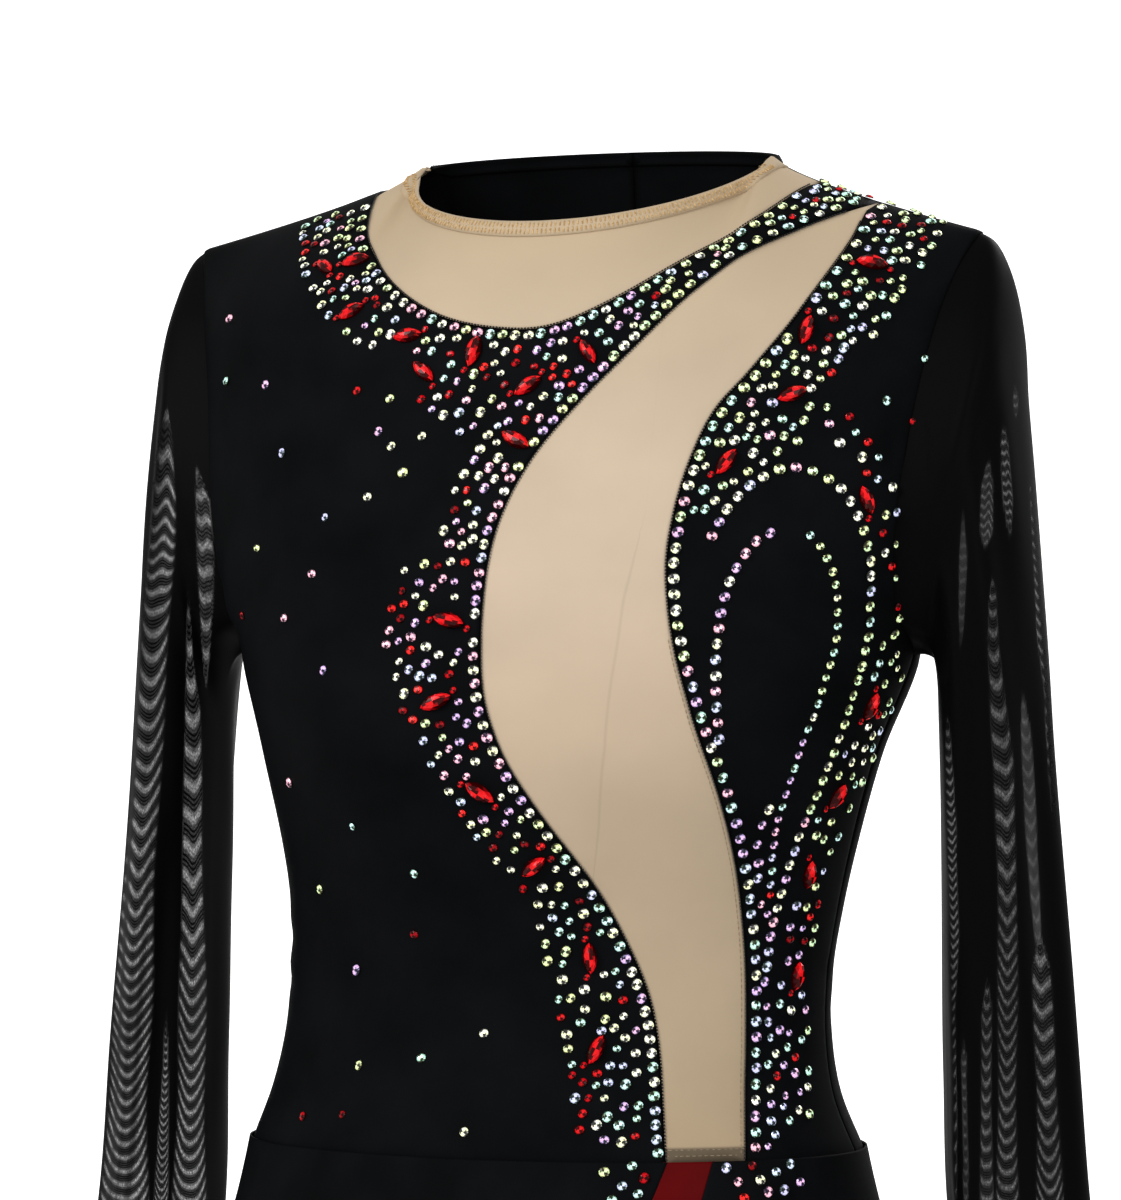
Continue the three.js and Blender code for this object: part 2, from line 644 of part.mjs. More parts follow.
function skirtWall(startColumn, endColumn, turnBack, steps) {
  const surface = (share, down) => {
    const i = Math.min(Math.floor(Math.max(down, 0)), SKIRT_ROWS.length - 2);
    const mix = (k) => SKIRT_ROWS[i][k] + (SKIRT_ROWS[i + 1][k] - SKIRT_ROWS[i][k]) * (down - i);
    const gap = ((SEAM / 2) * 180) / Math.PI / 150;
    const start = mix(startColumn) + gap;
    const end = mix(endColumn) + turnBack - gap;
    return skirtPoint(start + (end - start) * share, down);
  };
  const places = spaced(0, SKIRT_ROWS.length - 1, SKIRT_ROWS.length - 1);
  const shares = spaced(0, 1, steps);
  const outer = places.map((down) => shares.map((share) => surface(share, down)));
  const inner = places.map((down) =>
    shares.map((share) => {
      const direction = outward(surface, share, down, -1);
      return surface(share, down).addScaledVector(direction, -WALL);
    }),
  );
  return wallBetween(outer, inner);
}

function briefsWall(side) {
  const columns = spaced(-EDGE, EDGE, 14);
  const end = BRIEFS_FRONT_SECTIONS.length;
  const rows = [0, 1, 2, 3, 3.5, 4, 4.5, 5, 5.5, 6, 6.5, end - SEAM / 2 / 30];
  const near = (a, d) => briefsPoint(side, Math.min(Math.max(a, -1), 1), Math.min(d, end));
  const far = (a, d) => briefsPoint(-side, Math.min(Math.max(a, -1), 1), Math.min(d, end));
  const sign = side < 0 ? -1 : 1;
  const direction = (a, d) => {
    const own = outward(near, a, d, sign);
    if (d < 0.01) return own.setZ(0).normalize();
    if (d < end - 0.01) return own;
    return own.add(outward(far, a, d, -sign)).normalize();
  };
  const outer = rows.map((d) => columns.map((a) => near(a, d)));
  const inner = rows.map((d) => columns.map((a) => near(a, d).addScaledVector(direction(a, d), -WALL)));
  return wallBetween(outer, inner);
}

// A named mesh from a solid.
function cloth(name, made, look) {
  const mesh = made.getMesh();
  const n = mesh.numProp;
  const positions = new Float32Array(mesh.numVert * 3);
  for (let i = 0; i < mesh.numVert; i++)
    positions.set(mesh.vertProperties.subarray(i * n, i * n + 3), i * 3);
  const geometry = new THREE.BufferGeometry();
  geometry.setAttribute("position", new THREE.BufferAttribute(positions, 3));
  geometry.setIndex(new THREE.BufferAttribute(new Uint32Array(mesh.triVerts), 1));
  geometry.computeVertexNormals();
  const object = new THREE.Mesh(geometry, new THREE.MeshStandardMaterial(look));
  object.name = name;
  return object;
}

const dress = new THREE.Group();
dress.name = "skating_dress";

const front = frontPanels();
const bySize = [...front.panels].sort((a, b) => b.size - a.size);
const yoke = bySize.find((p) => p.box.min[2] > -90 && p.box.max[0] - p.box.min[0] > 150);
const insert = bySize.find((p) => p !== yoke && p.box.max[0] < 150 && p.box.min[0] > -15);
const frontRight = bySize.find((p) => p.box.min[0] < -140);
const frontLeft = bySize.find((p) => p.box.min[0] > 60 && p.box.max[0] > 150);
const back = backPanels();
const backRight = back.panels.find((p) => p.middle.x < -40);
const backLeft = back.panels.find((p) => p.middle.x > 40);
const bindingRight = back.binding.find((p) => p.middle.x < -10);
const bindingLeft = back.binding.find((p) => p.middle.x > 10);

const pieces = [
  ["front_right", frontRight.part, BLACK_LYCRA],
  ["front_left", frontLeft.part, BLACK_LYCRA],
  ["front_insert", insert.part, NUDE_MESH],
  ["front_yoke", yoke.part, NUDE_MESH],
  ["neck_binding_front", front.binding[0].part, NUDE_MESH],
  ["back_right", backRight.part, BLACK_LYCRA],
  ["back_left", backLeft.part, BLACK_LYCRA],
  ["neck_binding_back_right", bindingRight.part, BLACK_LYCRA],
  ["neck_binding_back_left", bindingLeft.part, BLACK_LYCRA],
  ["sleeve_right", sleeve(-1, RIGHT_SLEEVE), BLACK_MESH],
  ["sleeve_left", sleeve(1, LEFT_SLEEVE), BLACK_MESH],
  ["skirt", skirtWall(4, 3, 360, 60), BLACK_LYCRA],
  ["skirt_gore", skirtWall(3, 4, 0, 3), RED_LYCRA],
  ["briefs_front", briefsWall(-1), BLACK_LYCRA],
  ["briefs_back", briefsWall(1), BLACK_LYCRA],
];
for (const [name, made, look] of pieces) dress.add(cloth(name, made, look));

export default dress;
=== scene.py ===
# A long-sleeved figure skating dress: black stretch lycra with a nude S-shaped insert and yoke,
# sheer black mesh sleeves, glass stones, a short flared skirt with a red gore, and briefs.
# Sizes are in mm until a mesh is made. The wearer's left is +X, the front is -Y, up is +Z.
from functools import partial
import math
import bpy
import numpy as np
from mathutils.bvhtree import BVHTree
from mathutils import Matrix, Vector, geometry


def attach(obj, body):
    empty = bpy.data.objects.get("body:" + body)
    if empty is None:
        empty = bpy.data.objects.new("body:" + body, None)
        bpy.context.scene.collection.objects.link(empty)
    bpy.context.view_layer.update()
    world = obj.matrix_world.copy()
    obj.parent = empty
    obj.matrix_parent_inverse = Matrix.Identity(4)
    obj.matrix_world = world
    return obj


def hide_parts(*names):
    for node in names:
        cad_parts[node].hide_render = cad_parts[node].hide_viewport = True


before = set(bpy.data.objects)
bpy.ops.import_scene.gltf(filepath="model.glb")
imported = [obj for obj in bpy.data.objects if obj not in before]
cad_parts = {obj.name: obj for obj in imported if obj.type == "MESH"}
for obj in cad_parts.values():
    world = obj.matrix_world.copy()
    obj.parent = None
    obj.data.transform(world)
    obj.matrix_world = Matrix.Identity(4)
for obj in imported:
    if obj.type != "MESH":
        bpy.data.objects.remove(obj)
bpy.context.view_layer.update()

# Named sizes of the dress, the same as in the part's source
NECK_HALF_WIDTH = 84.0
NECK_FRONT = (-90.0, -33.0)  # forward, drop
NECK_BACK = (46.0, 8.0)
SHOULDER_TIP = (188.0, -22.0, -37.2)
SHOULDER_BEND = 0.77
NECK_SHARE = 0.47
BINDING_WIDTH = 7.0
BUST = (74.0, -262.0, 11.0, 38.0, 34.0)  # across, height, out, wide, high
CROTCH = (34.0, -26.0, -654.0)
ARMPIT_ROW = 7
SHOULDER_ROW = 12
LEG_ROW = 3
CROTCH_ROW = 7
TOP = SHOULDER_ROW  # row number along the shoulder seams
LYCRA_THICKNESS = 0.8
KNIT_RELIEF = 0.00012  # metres

# The camera's place in metres, and the scale of the photograph's view
VIEW_TURN = math.radians(20)
RIGHT = np.array([math.cos(VIEW_TURN), math.sin(VIEW_TURN), 0])
TOWARDS = np.array([math.sin(VIEW_TURN), -math.cos(VIEW_TURN), 0])
TARGET = RIGHT * -0.0184 + np.array([0, 0, -0.2015])
VIEW_DISTANCE = 2.5
EYE = TARGET + TOWARDS * VIEW_DISTANCE
VIEW_SCALE = 0.00046  # metres a pixel at the dress
MIDDLE_COLUMN, MIDDLE_ROW = 560.5, 600

# Sections of the body: height in the middle, height at the side, half width, degrees swept,
# depth, centre forward, centre across
FRONT_SECTIONS = [
    (-448, -448, 143.2, 90, 98, -38, -8.4),
    (-422, -422, 132.8, 90, 93, -38, -8.6),
    (-395, -395, 128.0, 90, 88, -35, -8.5),
    (-367, -367, 127.6, 90, 87, -32, -8.1),
    (-340, -340, 129.8, 90, 91, -31, -6),
    (-312, -312, 134.4, 90, 99, -32, -4),
    (-270, -270, 144.6, 90, 108, -33, -2),
    (-225, -225, 159.4, 90, 108, -30.5, 0),
    (-207, -209, 165.0, 76.4, 105, -33.6, 0),
    (-166, -170, 172.0, 71.4, 97, -40.5, 0),
    (-110, -105, 185.0, 67.6, 100, -22, 0),
    (-68, -62, 200.0, 64.2, 110, 4, 0),
]
BACK_SECTIONS = [
    (-448, -448, 143.2, 90, 104, -38, -8.4),
    (-422, -422, 132.8, 90, 94, -38, -8.6),
    (-395, -395, 128.0, 90, 84, -35, -8.5),
    (-367, -367, 127.6, 90, 80, -32, -8.1),
    (-340, -340, 129.8, 90, 82, -31, -6),
    (-312, -312, 134.4, 90, 88, -32, -4),
    (-270, -270, 144.6, 90, 95, -33, -2),
    (-225, -225, 159.4, 90, 97, -30.5, 0),
    (-207, -209, 165.0, 76.4, 91, -24, 0),
    (-168, -170, 175.0, 70.5, 83.5, -14.5, 0),
    (-110, -105, 185.0, 68.4, 82.3, -18.3, 0),
    (-56, -60, 200.0, 64.8, 94, -40, 0),
]
BRIEFS_FRONT_SECTIONS = [
    (-448.3, -448.3, 143.2, 90, 98, -38, -8.4),
    (-480, -480, 147, 90, 98, -37, -6),
    (-515, -515, 151, 90, 97, -36, -4),
    (-545, -545, 153, 90, 96, -35, -2),
    (-576, -562, 152, 60, 93, -35, -1),
    (-606, -592, 143, 41, 86, -35, 0),
    (-632, -622, 120, 28, 66, -35, 0),
]
BRIEFS_BACK_SECTIONS = [
    (-448.3, -448.3, 143.2, 90, 104, -38, -8.4),
    (-480, -480, 147, 90, 107, -37, -6),
    (-515, -515, 151, 90, 112, -36, -4),
    (-545, -545, 153, 90, 113, -35, -2),
    (-584, -566, 152, 64, 111, -35, -1),
    (-618, -600, 144, 45, 101, -35, 0),
    (-642, -632, 122, 30, 74, -35, 0),
]
# Sleeve rows: outer x, outer z, inner x, inner z, centre y, half depth, oval share, flute depth
RIGHT_SLEEVE = [
    (192, -42, 163.5, -225.6, -24, 46, 0.12, 0),
    (197, -53, 168, -226.8, -23, 46, 0.35, 0),
    (201, -72, 172, -229.5, -22, 45.5, 0.6, 0),
    (204.5, -102, 175.5, -235, -22, 45, 0.82, 0.3),
    (208.5, -140, 178, -245, -22, 44.5, 1, 0.8),
    (212, -180, 179.5, -262, -22, 44, 1, 1.5),
    (215.5, -225, 180.5, -286, -22, 43, 1, 2.2),
    (219.5, -280, 181.5, -318, -22, 42, 1, 2.8),
    (225, -345, 182, -362, -22, 41, 1, 3.2),
    (229.5, -405, 182.5, -411, -22, 41, 1, 3.5),
    (234.5, -471, 183, -471, -22, 41, 1, 3.8),
    (244, -540, 189, -540, -22, 41, 1, 4),
    (253, -611, 198, -611, -22, 41, 1, 4),
]
LEFT_SLEEVE = [
    (193.5, -42, 163, -225.6, -24, 46, 0.12, 0),
    (199.5, -53, 166.5, -226.8, -23, 46, 0.35, 0),
    (203.5, -72, 168.5, -229.5, -22, 45.5, 0.6, 0),
    (205.5, -102, 170, -235, -22, 45, 0.82, 0.3),
    (209, -140, 170.8, -245, -22, 45, 1, 0.8),
    (212.5, -180, 171, -262, -22, 45, 1, 1.5),
    (216.5, -225, 171, -286, -22, 44, 1, 2.2),
    (220.5, -280, 171, -318, -22, 43, 1, 2.8),
    (225.5, -345, 171, -362, -22, 42, 1, 3.2),
    (230.5, -405, 171.5, -411, -22, 41.5, 1, 3.5),
    (236, -471, 173, -471, -22, 41, 1, 3.8),
    (246, -540, 184, -540, -22, 41, 1, 4),
    (255, -611, 198, -611, -22, 41, 1, 4),
]
# Sleeve flutes: degrees round from the outside, width, share of depth
SLEEVE_FLUTES = [(28, 52, 1), (84, 58, 0.8), (140, 54, 0.6), (205, 66, 0.7), (268, 58, 1), (326, 54, 0.85)]
# Skirt rows: height, stand-off from the hip seam, flute depth, left and right edge of the gore in degrees
SKIRT_ROWS = [
    (-446, 1.2, 0, 34.6, 43.4),
    (-456, 3.2, 0.8, 32.6, 41.6),
    (-471, 6.5, 2.4, 29.6, 39),
    (-495, 12.6, 5.5, 25.2, 35.6),
    (-530, 20.5, 9, 20, 32.2),
    (-575, 28.5, 12, 15.6, 29.6),
    (-640, 38, 15, 11.4, 27.2),
    (-712, 47, 18, 8, 25.6),
]
GORE_RIGHT, GORE_LEFT = 3, 4  # the columns with the edges of the gore
SKIRT_STEPS = 70  # rows of the skirt's mesh, less one
# Skirt flutes: degrees from the front towards the wearer's left, width, share of depth
SKIRT_FLUTES = [(-4, 34, 0.9), (18, 20, 0.7), (50, 34, 1), (92, 38, 0.42), (128, 36, 0.9),
                (165, 36, 1), (201, 34, 0.9), (238, 38, 1), (273, 34, 0.42), (312, 36, 1)]
# Edges of the front panels as seen from the front: across, height
YOKE_EDGE = [(-100.8, -14.6), (-89.1, -37.9), (-67.5, -58.1), (-37.3, -75.1), (-7.4, -81.4),
             (15.8, -80.6), (45.6, -67.5), (74.1, -46.8), (94.4, -30.1), (107, -14.5)]
YOKE_ENDS = (-0.564, 0.593)  # where it meets the shoulder seams
INSERT_RIGHT_EDGE = [(136.5, -24), (122, -31.6), (110.2, -38.6), (92.8, -49.7), (79.6, -63.4),
                     (57.7, -87.9), (33.8, -114.2), (14, -140.5), (0.5, -171.1), (-5.5, -206),
                     (-4.4, -240.6), (4.4, -266.7), (20.7, -295), (38.9, -323.6), (51, -350.2),
                     (60.8, -376.7), (66.3, -402.5), (71.6, -440.7), (72.4, -448)]
INSERT_LEFT_EDGE = [(136.5, -24), (136, -42.4), (123.7, -74.8), (105.6, -101.4), (92.4, -118.8),
                    (83.9, -140.9), (78.2, -166.7), (76, -188.6), (79.1, -218.8), (87.3, -248.9),
                    (94.5, -279.4), (97.2, -310.5), (97, -342), (97.2, -377.3), (98.9, -409.7),
                    (102.1, -441.6), (102.6, -448)]
INSERT_TIP = 0.742  # where the insert's point meets the left shoulder seam


def smooth_step(x):
    t = np.clip(x, 0, 1)
    return t * t * (3 - 2 * t)


def section_point(row, across, side):
    height, side_height, half_width, sweep, depth, centre_y, centre_x = row
    angle = across * math.radians(sweep)
    return np.stack([
        centre_x + half_width * np.sin(angle),
        centre_y + side * depth * np.cos(angle),
        height + (side_height - height) * across ** 2,
    ], -1)


def top_point(across, side):
    """The neck curve in the middle, and the shoulder seam at each side."""
    turn = np.clip(across / NECK_SHARE, -1, 1) * math.pi / 2
    forward, drop = NECK_FRONT if side < 0 else NECK_BACK
    neck = np.stack([NECK_HALF_WIDTH * np.sin(turn), forward * np.cos(turn), drop * np.cos(turn)], -1)
    share = np.clip((np.abs(across) - NECK_SHARE) / (1 - NECK_SHARE), 0, 1)
    reach = NECK_HALF_WIDTH + (SHOULDER_TIP[0] - NECK_HALF_WIDTH) * share
    fall = SHOULDER_TIP[2] * share ** SHOULDER_BEND
    seam = np.stack([np.sign(across) * reach, SHOULDER_TIP[1] * share, fall], -1)
    return np.where((np.abs(across) < NECK_SHARE)[..., None], neck, seam)


def along(points, place):
    """The place on the smooth curve through a list of points, where 0 is the second point."""
    last = len(points) - 3
    place = np.clip(place, 0, last)
    start = np.minimum(np.floor(place).astype(int), last - 1)
    t = place - start
    stack = np.stack(points, 0)
    where = tuple(np.indices(start.shape)) if stack.ndim > 2 else ()
    p0, p1, p2, p3 = (stack[(start + k,) + where] for k in range(4))
    gap = lambda a, b: np.maximum(np.linalg.norm(b - a, axis=-1) ** 0.5, 1e-4)[..., None]
    d0, d1, d2 = gap(p0, p1), gap(p1, p2), gap(p2, p3)
    leave = ((p1 - p0) / d0 - (p2 - p0) / (d0 + d1) + (p2 - p1) / d1) * d1
    arrive = ((p2 - p1) / d1 - (p3 - p1) / (d1 + d2) + (p3 - p2) / d2) * d1
    t = t[..., None]
    leaving = (2 * t ** 3 - 3 * t ** 2 + 1) * p1 + (t ** 3 - 2 * t ** 2 + t) * leave
    return leaving + (3 * t ** 2 - 2 * t ** 3) * p2 + (t ** 3 - t ** 2) * arrive


def share_next(points, other, row, across, side):
    """Near the side seam both panels head for the same place above its end."""
    facing = section_point(other[row], across, -side)
    weight = smooth_step((np.abs(across) - 0.75) / 0.25)[..., None]
    changed = list(points)
    changed[row] = points[row] * (1 - weight / 2) + facing * weight / 2
    return changed


def bodice(side, across, up):
    """The front (-1) or back (1) of the bodice. up is the row number of its sections."""
    across, up = np.broadcast_arrays(np.asarray(across, float), np.asarray(up, float))
    own, other = (FRONT_SECTIONS, BACK_SECTIONS) if side < 0 else (BACK_SECTIONS, FRONT_SECTIONS)
    points = [section_point(row, across, side) for row in own]
    top = top_point(across, side)
    over = section_point(other[-1], across, -side)
    weight = smooth_step((np.abs(across) - NECK_SHARE + 0.12) / 0.2)[..., None]
    end = [top, (top + np.array([0, -side * 6.0, 24.0])) * (1 - weight) + over * weight]
    first = [2 * points[0] - points[1]]
    above = along(first + points + end, up)
    below = along(first + share_next(points, other, ARMPIT_ROW + 1, across, side) + end, up)
    point = np.where((up <= ARMPIT_ROW)[..., None], below, above)
    if side < 0:
        x = (np.abs(point[..., 0]) - BUST[0]) / BUST[3]
        z = (point[..., 2] - BUST[1]) / BUST[4]
        point[..., 1] -= BUST[2] * np.exp(-(x * x + z * z) / 2)
    return point


def briefs(side, across, down):
    """The front (-1) or back (1) of the briefs. down is the row number of its sections."""
    across, down = np.broadcast_arrays(np.asarray(across, float), np.asarray(down, float))
    own, other = BRIEFS_FRONT_SECTIONS, BRIEFS_BACK_SECTIONS
    if side > 0:
        own, other = other, own
    points = [section_point(row, across, side) for row in own]
    level = np.ones(across.shape)
    seam = np.stack([CROTCH[0] * across, CROTCH[1] * level, CROTCH[2] * level], -1)
    end = [seam, section_point(other[-1], across, -side)]
    first = [2 * points[0] - points[1]]
    above = along(first + points + end, down)
    below = along(first + share_next(points, other, LEG_ROW + 1, across, side) + end, down)
    return np.where((down <= LEG_ROW)[..., None], below, above)


def outward(surface, a, b, sign, low, high):
    """The outward direction of a surface at (a, b), kept inside its limits."""
    step = 0.004
    da = surface(np.clip(a + step, -1, 1), b) - surface(np.clip(a - step, -1, 1), b)
    db = surface(a, np.clip(b + step, low, high)) - surface(a, np.clip(b - step, low, high))
    n = np.cross(da, db) * sign
    return n / np.maximum(np.linalg.norm(n, axis=-1, keepdims=True), 1e-9)


def flat_heights(surface, last):
    """Heights of the rows along the middle, which lay a panel out flat for cutting."""
    places = np.linspace(0, last, 241)
    line = surface(np.zeros(241), places)
    steps = np.linalg.norm(np.diff(line, axis=0), axis=1)
    return places, np.concatenate([[0], np.cumsum(steps)])


FRONT = partial(bodice, -1)
BACK = partial(bodice, 1)
# Each surface, the sign that turns its normals outwards, and its last row
SURFACES = {
    "front": (FRONT, 1, TOP),
    "back": (BACK, -1, TOP),
    "briefs_front": (partial(briefs, -1), -1, CROTCH_ROW),
    "briefs_back": (partial(briefs, 1), 1, CROTCH_ROW),
}


def on_cloth(surface_name, places, raised):
    """Points at (across, up) places, raised off the surface by some mm, and the outward directions."""
    surface, sign, last = SURFACES[surface_name]
    places = np.asarray(places, float)
    facing = outward(surface, places[:, 0], places[:, 1], sign, 0, last)
    return surface(places[:, 0], places[:, 1]) + facing * raised, facing


FLAT = {name: flat_heights(surface, last) for name, (surface, _, last) in SURFACES.items()}
HALF_FLAT_WIDTH = 175.0  # half the laid-out width of a panel


def to_flat(name, a, b):
    places, heights = FLAT[name]
    return np.stack([np.asarray(a) * HALF_FLAT_WIDTH, np.interp(b, places, heights)], -1)


def from_flat(name, flat):
    places, heights = FLAT[name]
    return np.clip(flat[..., 0] / HALF_FLAT_WIDTH, -1, 1), np.interp(flat[..., 1], heights, places)


def smooth_line(table, step=3.0):
    """Evenly spaced points of a smooth line through the rows of a table."""
    rows = [np.array(row, float) for row in table]
    rows = [2 * rows[0] - rows[1]] + rows + [2 * rows[-1] - rows[-2]]
    fine = along(rows, np.linspace(0, len(table) - 1, 60 * len(table)))
    run = np.concatenate([[0], np.cumsum(np.linalg.norm(np.diff(fine, axis=0), axis=1))])
    marks = np.linspace(0, run[-1], max(2, int(round(run[-1] / step))) + 1)
    return np.stack([np.interp(marks, run, fine[:, k]) for k in range(fine.shape[1])], -1)


def beside(line, distance):
    """A line moved sideways, to its left for a positive distance."""
    run = np.gradient(line, axis=0)
    run /= np.maximum(np.linalg.norm(run, axis=1, keepdims=True), 1e-9)
    return line + distance * np.stack([-run[:, 1], run[:, 0]], -1)


def view_place(points):
    """Where points in mm are seen in the 1121 by 1200 view, as column and row."""
    off = np.asarray(points) / 1000 - TARGET
    depth = VIEW_DISTANCE - off @ TOWARDS
    return np.stack([MIDDLE_COLUMN + off @ RIGHT * VIEW_DISTANCE / depth / VIEW_SCALE,
                     MIDDLE_ROW - off[..., 2] * VIEW_DISTANCE / depth / VIEW_SCALE], -1)


def level_place(points):
    """Where points are seen level from the front: across and height in mm."""
    return points[..., [0, 2]]


GUESS_A, GUESS_B = np.meshgrid(np.linspace(-1, 1, 161), np.linspace(0, 11.9, 161), indexing="ij")
GUESSES = {seen: seen(FRONT(GUESS_A, GUESS_B)).reshape(-1, 2) for seen in (level_place, view_place)}


def find_places(line, seen, rounds, least):
    """The places (across, up) of the front that are seen at these points, found step by step."""
    line = np.asarray(line, float)
    nearest = np.array([np.argmin(((GUESSES[seen] - p) ** 2).sum(1)) for p in line])
    a, b = GUESS_A.reshape(-1)[nearest], GUESS_B.reshape(-1)[nearest]
    step = 1e-3
    for _ in range(rounds):
        here = seen(FRONT(a, b))
        da = (seen(FRONT(np.clip(a + step, -1, 1), b)) - here) / step
        db = (seen(FRONT(a, np.clip(b - step, 0, TOP))) - here) / -step
        miss = line - here
        det = da[:, 0] * db[:, 1] - da[:, 1] * db[:, 0]
        det = np.where(np.abs(det) < least, least * np.sign(det + 1e-9), det)
        move_a = (miss[:, 0] * db[:, 1] - miss[:, 1] * db[:, 0]) / det
        move_b = (da[:, 0] * miss[:, 1] - da[:, 1] * miss[:, 0]) / det
        a = np.clip(a + np.clip(move_a, -0.03, 0.03), -1, 1)
        b = np.clip(b + np.clip(move_b, -0.4, 0.4), 0, TOP)
    return np.stack([a, b], -1)


def on_front(line):
    """The places of the front at these points across and high."""
    return find_places(line, level_place, 12, 60)


def on_view(line):
    """The places of the front at these columns and rows of the view."""
    return find_places(line, view_place, 8, 300)


def seam_places(points):
    """Evenly spaced places between corners given as (across, up)."""
    out = []
    for (a0, b0), (a1, b1) in zip(points[:-1], points[1:]):
        count = max(2, int(max(abs(a1 - a0) * HALF_FLAT_WIDTH / 3, abs(b1 - b0) * 13)))
        t = np.linspace(0, 1, count, endpoint=False)[:, None]
        out.append(np.array([a0, b0]) * (1 - t) + np.array([a1, b1]) * t)
    return np.concatenate(out)


def inside_outline(points, outline):
    x, y = points[:, 0], points[:, 1]
    hit = np.zeros(len(points), bool)
    for (x0, y0), (x1, y1) in zip(outline, np.roll(outline, -1, axis=0)):
        if y0 == y1:
            continue
        crosses = (y0 > y) != (y1 > y)
        hit ^= crosses & (x < (x1 - x0) * (y - y0) / (y1 - y0) + x0)
    return hit


def distance_to(points, outline):
    """The distance of each point from the nearest edge of a closed outline."""
    best = np.full(len(points), 1e9)
    for p, q in zip(outline, np.roll(outline, -1, axis=0)):
        d = q - p
        t = np.clip(((points - p) @ d) / max(d @ d, 1e-9), 0, 1)
        best = np.minimum(best, np.linalg.norm(points - p - t[:, None] * d, axis=1))
    return best


def linear(hex_colour):
    """An sRGB hex colour as the linear values a shader takes."""
    parts = [int(hex_colour[i:i + 2], 16) / 255 for i in (1, 3, 5)]
    return tuple(c / 12.92 if c <= 0.04045 else ((c + 0.055) / 1.055) ** 2.4 for c in parts) + (1.0,)


def mesh_object(name, points, faces, material, flat=None, values=None):
    """A mesh from points in mm, with its laid-out place as a UV map and named point values."""
    mesh = bpy.data.meshes.new(name)
    mesh.from_pydata((np.asarray(points) / 1000).tolist(), [], [list(map(int, f)) for f in faces])
    mesh.update()
    if flat is not None:
        layer = mesh.uv_layers.new(name="cloth")
        corners = np.zeros(len(mesh.loops), int)
        mesh.loops.foreach_get("vertex_index", corners)
        layer.data.foreach_set("uv", (np.asarray(flat)[corners] / 1000).reshape(-1))
    for key, value in (values or {}).items():
        data = mesh.attributes.new(key, "FLOAT", "POINT").data
        data.foreach_set("value", np.asarray(value, np.float32))
    mesh.materials.append(material)
    mesh.shade_smooth()
    return link(name, mesh)


def thicken(piece, thickness):
    """Gives a cloth piece its real thickness, inwards."""
    wall = piece.modifiers.new("cloth thickness", "SOLIDIFY")
    wall.thickness = thickness / 1000
    wall.offset = -1
    wall.use_even_offset = False
    return piece


# Creases of the close-fitting cloth: surface, across, up, length, width, depth, lean in degrees
CREASES = [
    ("front", -0.93, 8.6, 46, 5, 0.9, 38), ("front", -0.9, 7.9, 38, 4.5, 0.8, 18),
    ("front", -0.95, 9.4, 30, 4, 0.6, 55), ("front", 0.93, 8.5, 42, 5, 0.8, -35),
    ("front", 0.9, 7.7, 34, 4.5, 0.8, -16), ("front", 0.95, 9.5, 28, 4, 0.6, -58),
    ("front", -0.86, 3.4, 60, 6, 0.7, 6), ("front", -0.8, 2.7, 46, 5, 0.6, -5),
    ("front", 0.88, 3.2, 50, 6, 0.7, -7), ("front", 0.84, 2.4, 40, 5, 0.6, 4),
    ("front", -0.5, 3.1, 54, 6, 0.4, 3), ("front", -0.62, 1.9, 40, 6, 0.5, -6),
    ("back", -0.92, 8.5, 50, 5, 1.0, 34), ("back", -0.86, 7.8, 44, 5, 0.9, 16),
    ("back", 0.92, 8.6, 46, 5, 0.9, -36), ("back", 0.87, 7.7, 40, 5, 0.9, -14),
    ("back", -0.45, 3.3, 90, 7, 1.2, 5), ("back", 0.4, 3.0, 84, 7, 1.1, -6),
    ("back", -0.3, 2.4, 70, 6, 0.9, -4), ("back", 0.52, 2.1, 62, 6, 0.9, 7),
    ("back", -0.7, 2.9, 66, 6, 0.9, 9), ("back", 0.74, 2.6, 58, 6, 0.8, -10),
    ("back", -0.25, 10.6, 60, 8, 0.7, 12), ("back", 0.3, 10.5, 54, 8, 0.6, -15),
    ("briefs_back", -0.4, 4.4, 60, 7, 1.0, 25), ("briefs_back", 0.42, 4.5, 56, 7, 1.0, -24),
    ("briefs_front", -0.5, 4.3, 46, 6, 0.8, -24), ("briefs_front", 0.52, 4.2, 44, 6, 0.8, 26),
]


def soft_fold(x, y, length, width, depth, lean, bow, ridge, apart):
    """The depth of a fold round (0, 0), with a ridge beside it that is a share of its depth."""
    turn = math.radians(lean)
    run = x * math.cos(turn) + y * math.sin(turn)
    across = -x * math.sin(turn) + y * math.cos(turn) + bow * run ** 2
    reach = np.exp(-1.6 * (run / (length / 2)) ** 2)
    beside_it = np.exp(-((across - apart * width) / width) ** 2)
    return depth * reach * (np.exp(-(across / width) ** 2) - ridge * beside_it)


def crease_depth(name, flat):
    """How far the cloth dips into its creases at each laid-out place."""
    depth = np.zeros(len(flat))
    for where, a, b, length, width, deep, lean in CREASES:
        if where == name:
            x, y = (flat - to_flat(name, a, b)).T
            depth += soft_fold(x, y, length, width, deep, lean, 0.004, 0.55, 1.5)
    return depth


# A faint pressed line down the nude insert, drawn only as a painted shade line, seen from the front: across,
# height
PRESSED_LINE = [(67, -160), (64, -176), (58, -202), (54.5, -235), (52.5, -266), (46, -300), (38, -332),
                (33, -350)]


def pressed_line(point):
    """How far a point lies from the pressed line in mm, growing past its ends so that it fades out; it sets the
    painted shade along the line.
    """
    line = np.array(PRESSED_LINE, float)[::-1]
    off = point[:, 0] - np.interp(point[:, 2], line[:, 1], line[:, 0])
    fade = smooth_step((point[:, 2] + 352) / 70) * smooth_step((-158 - point[:, 2]) / 40)
    return np.clip(off * 0.97 / np.maximum(fade, 0.05), -60, 60)


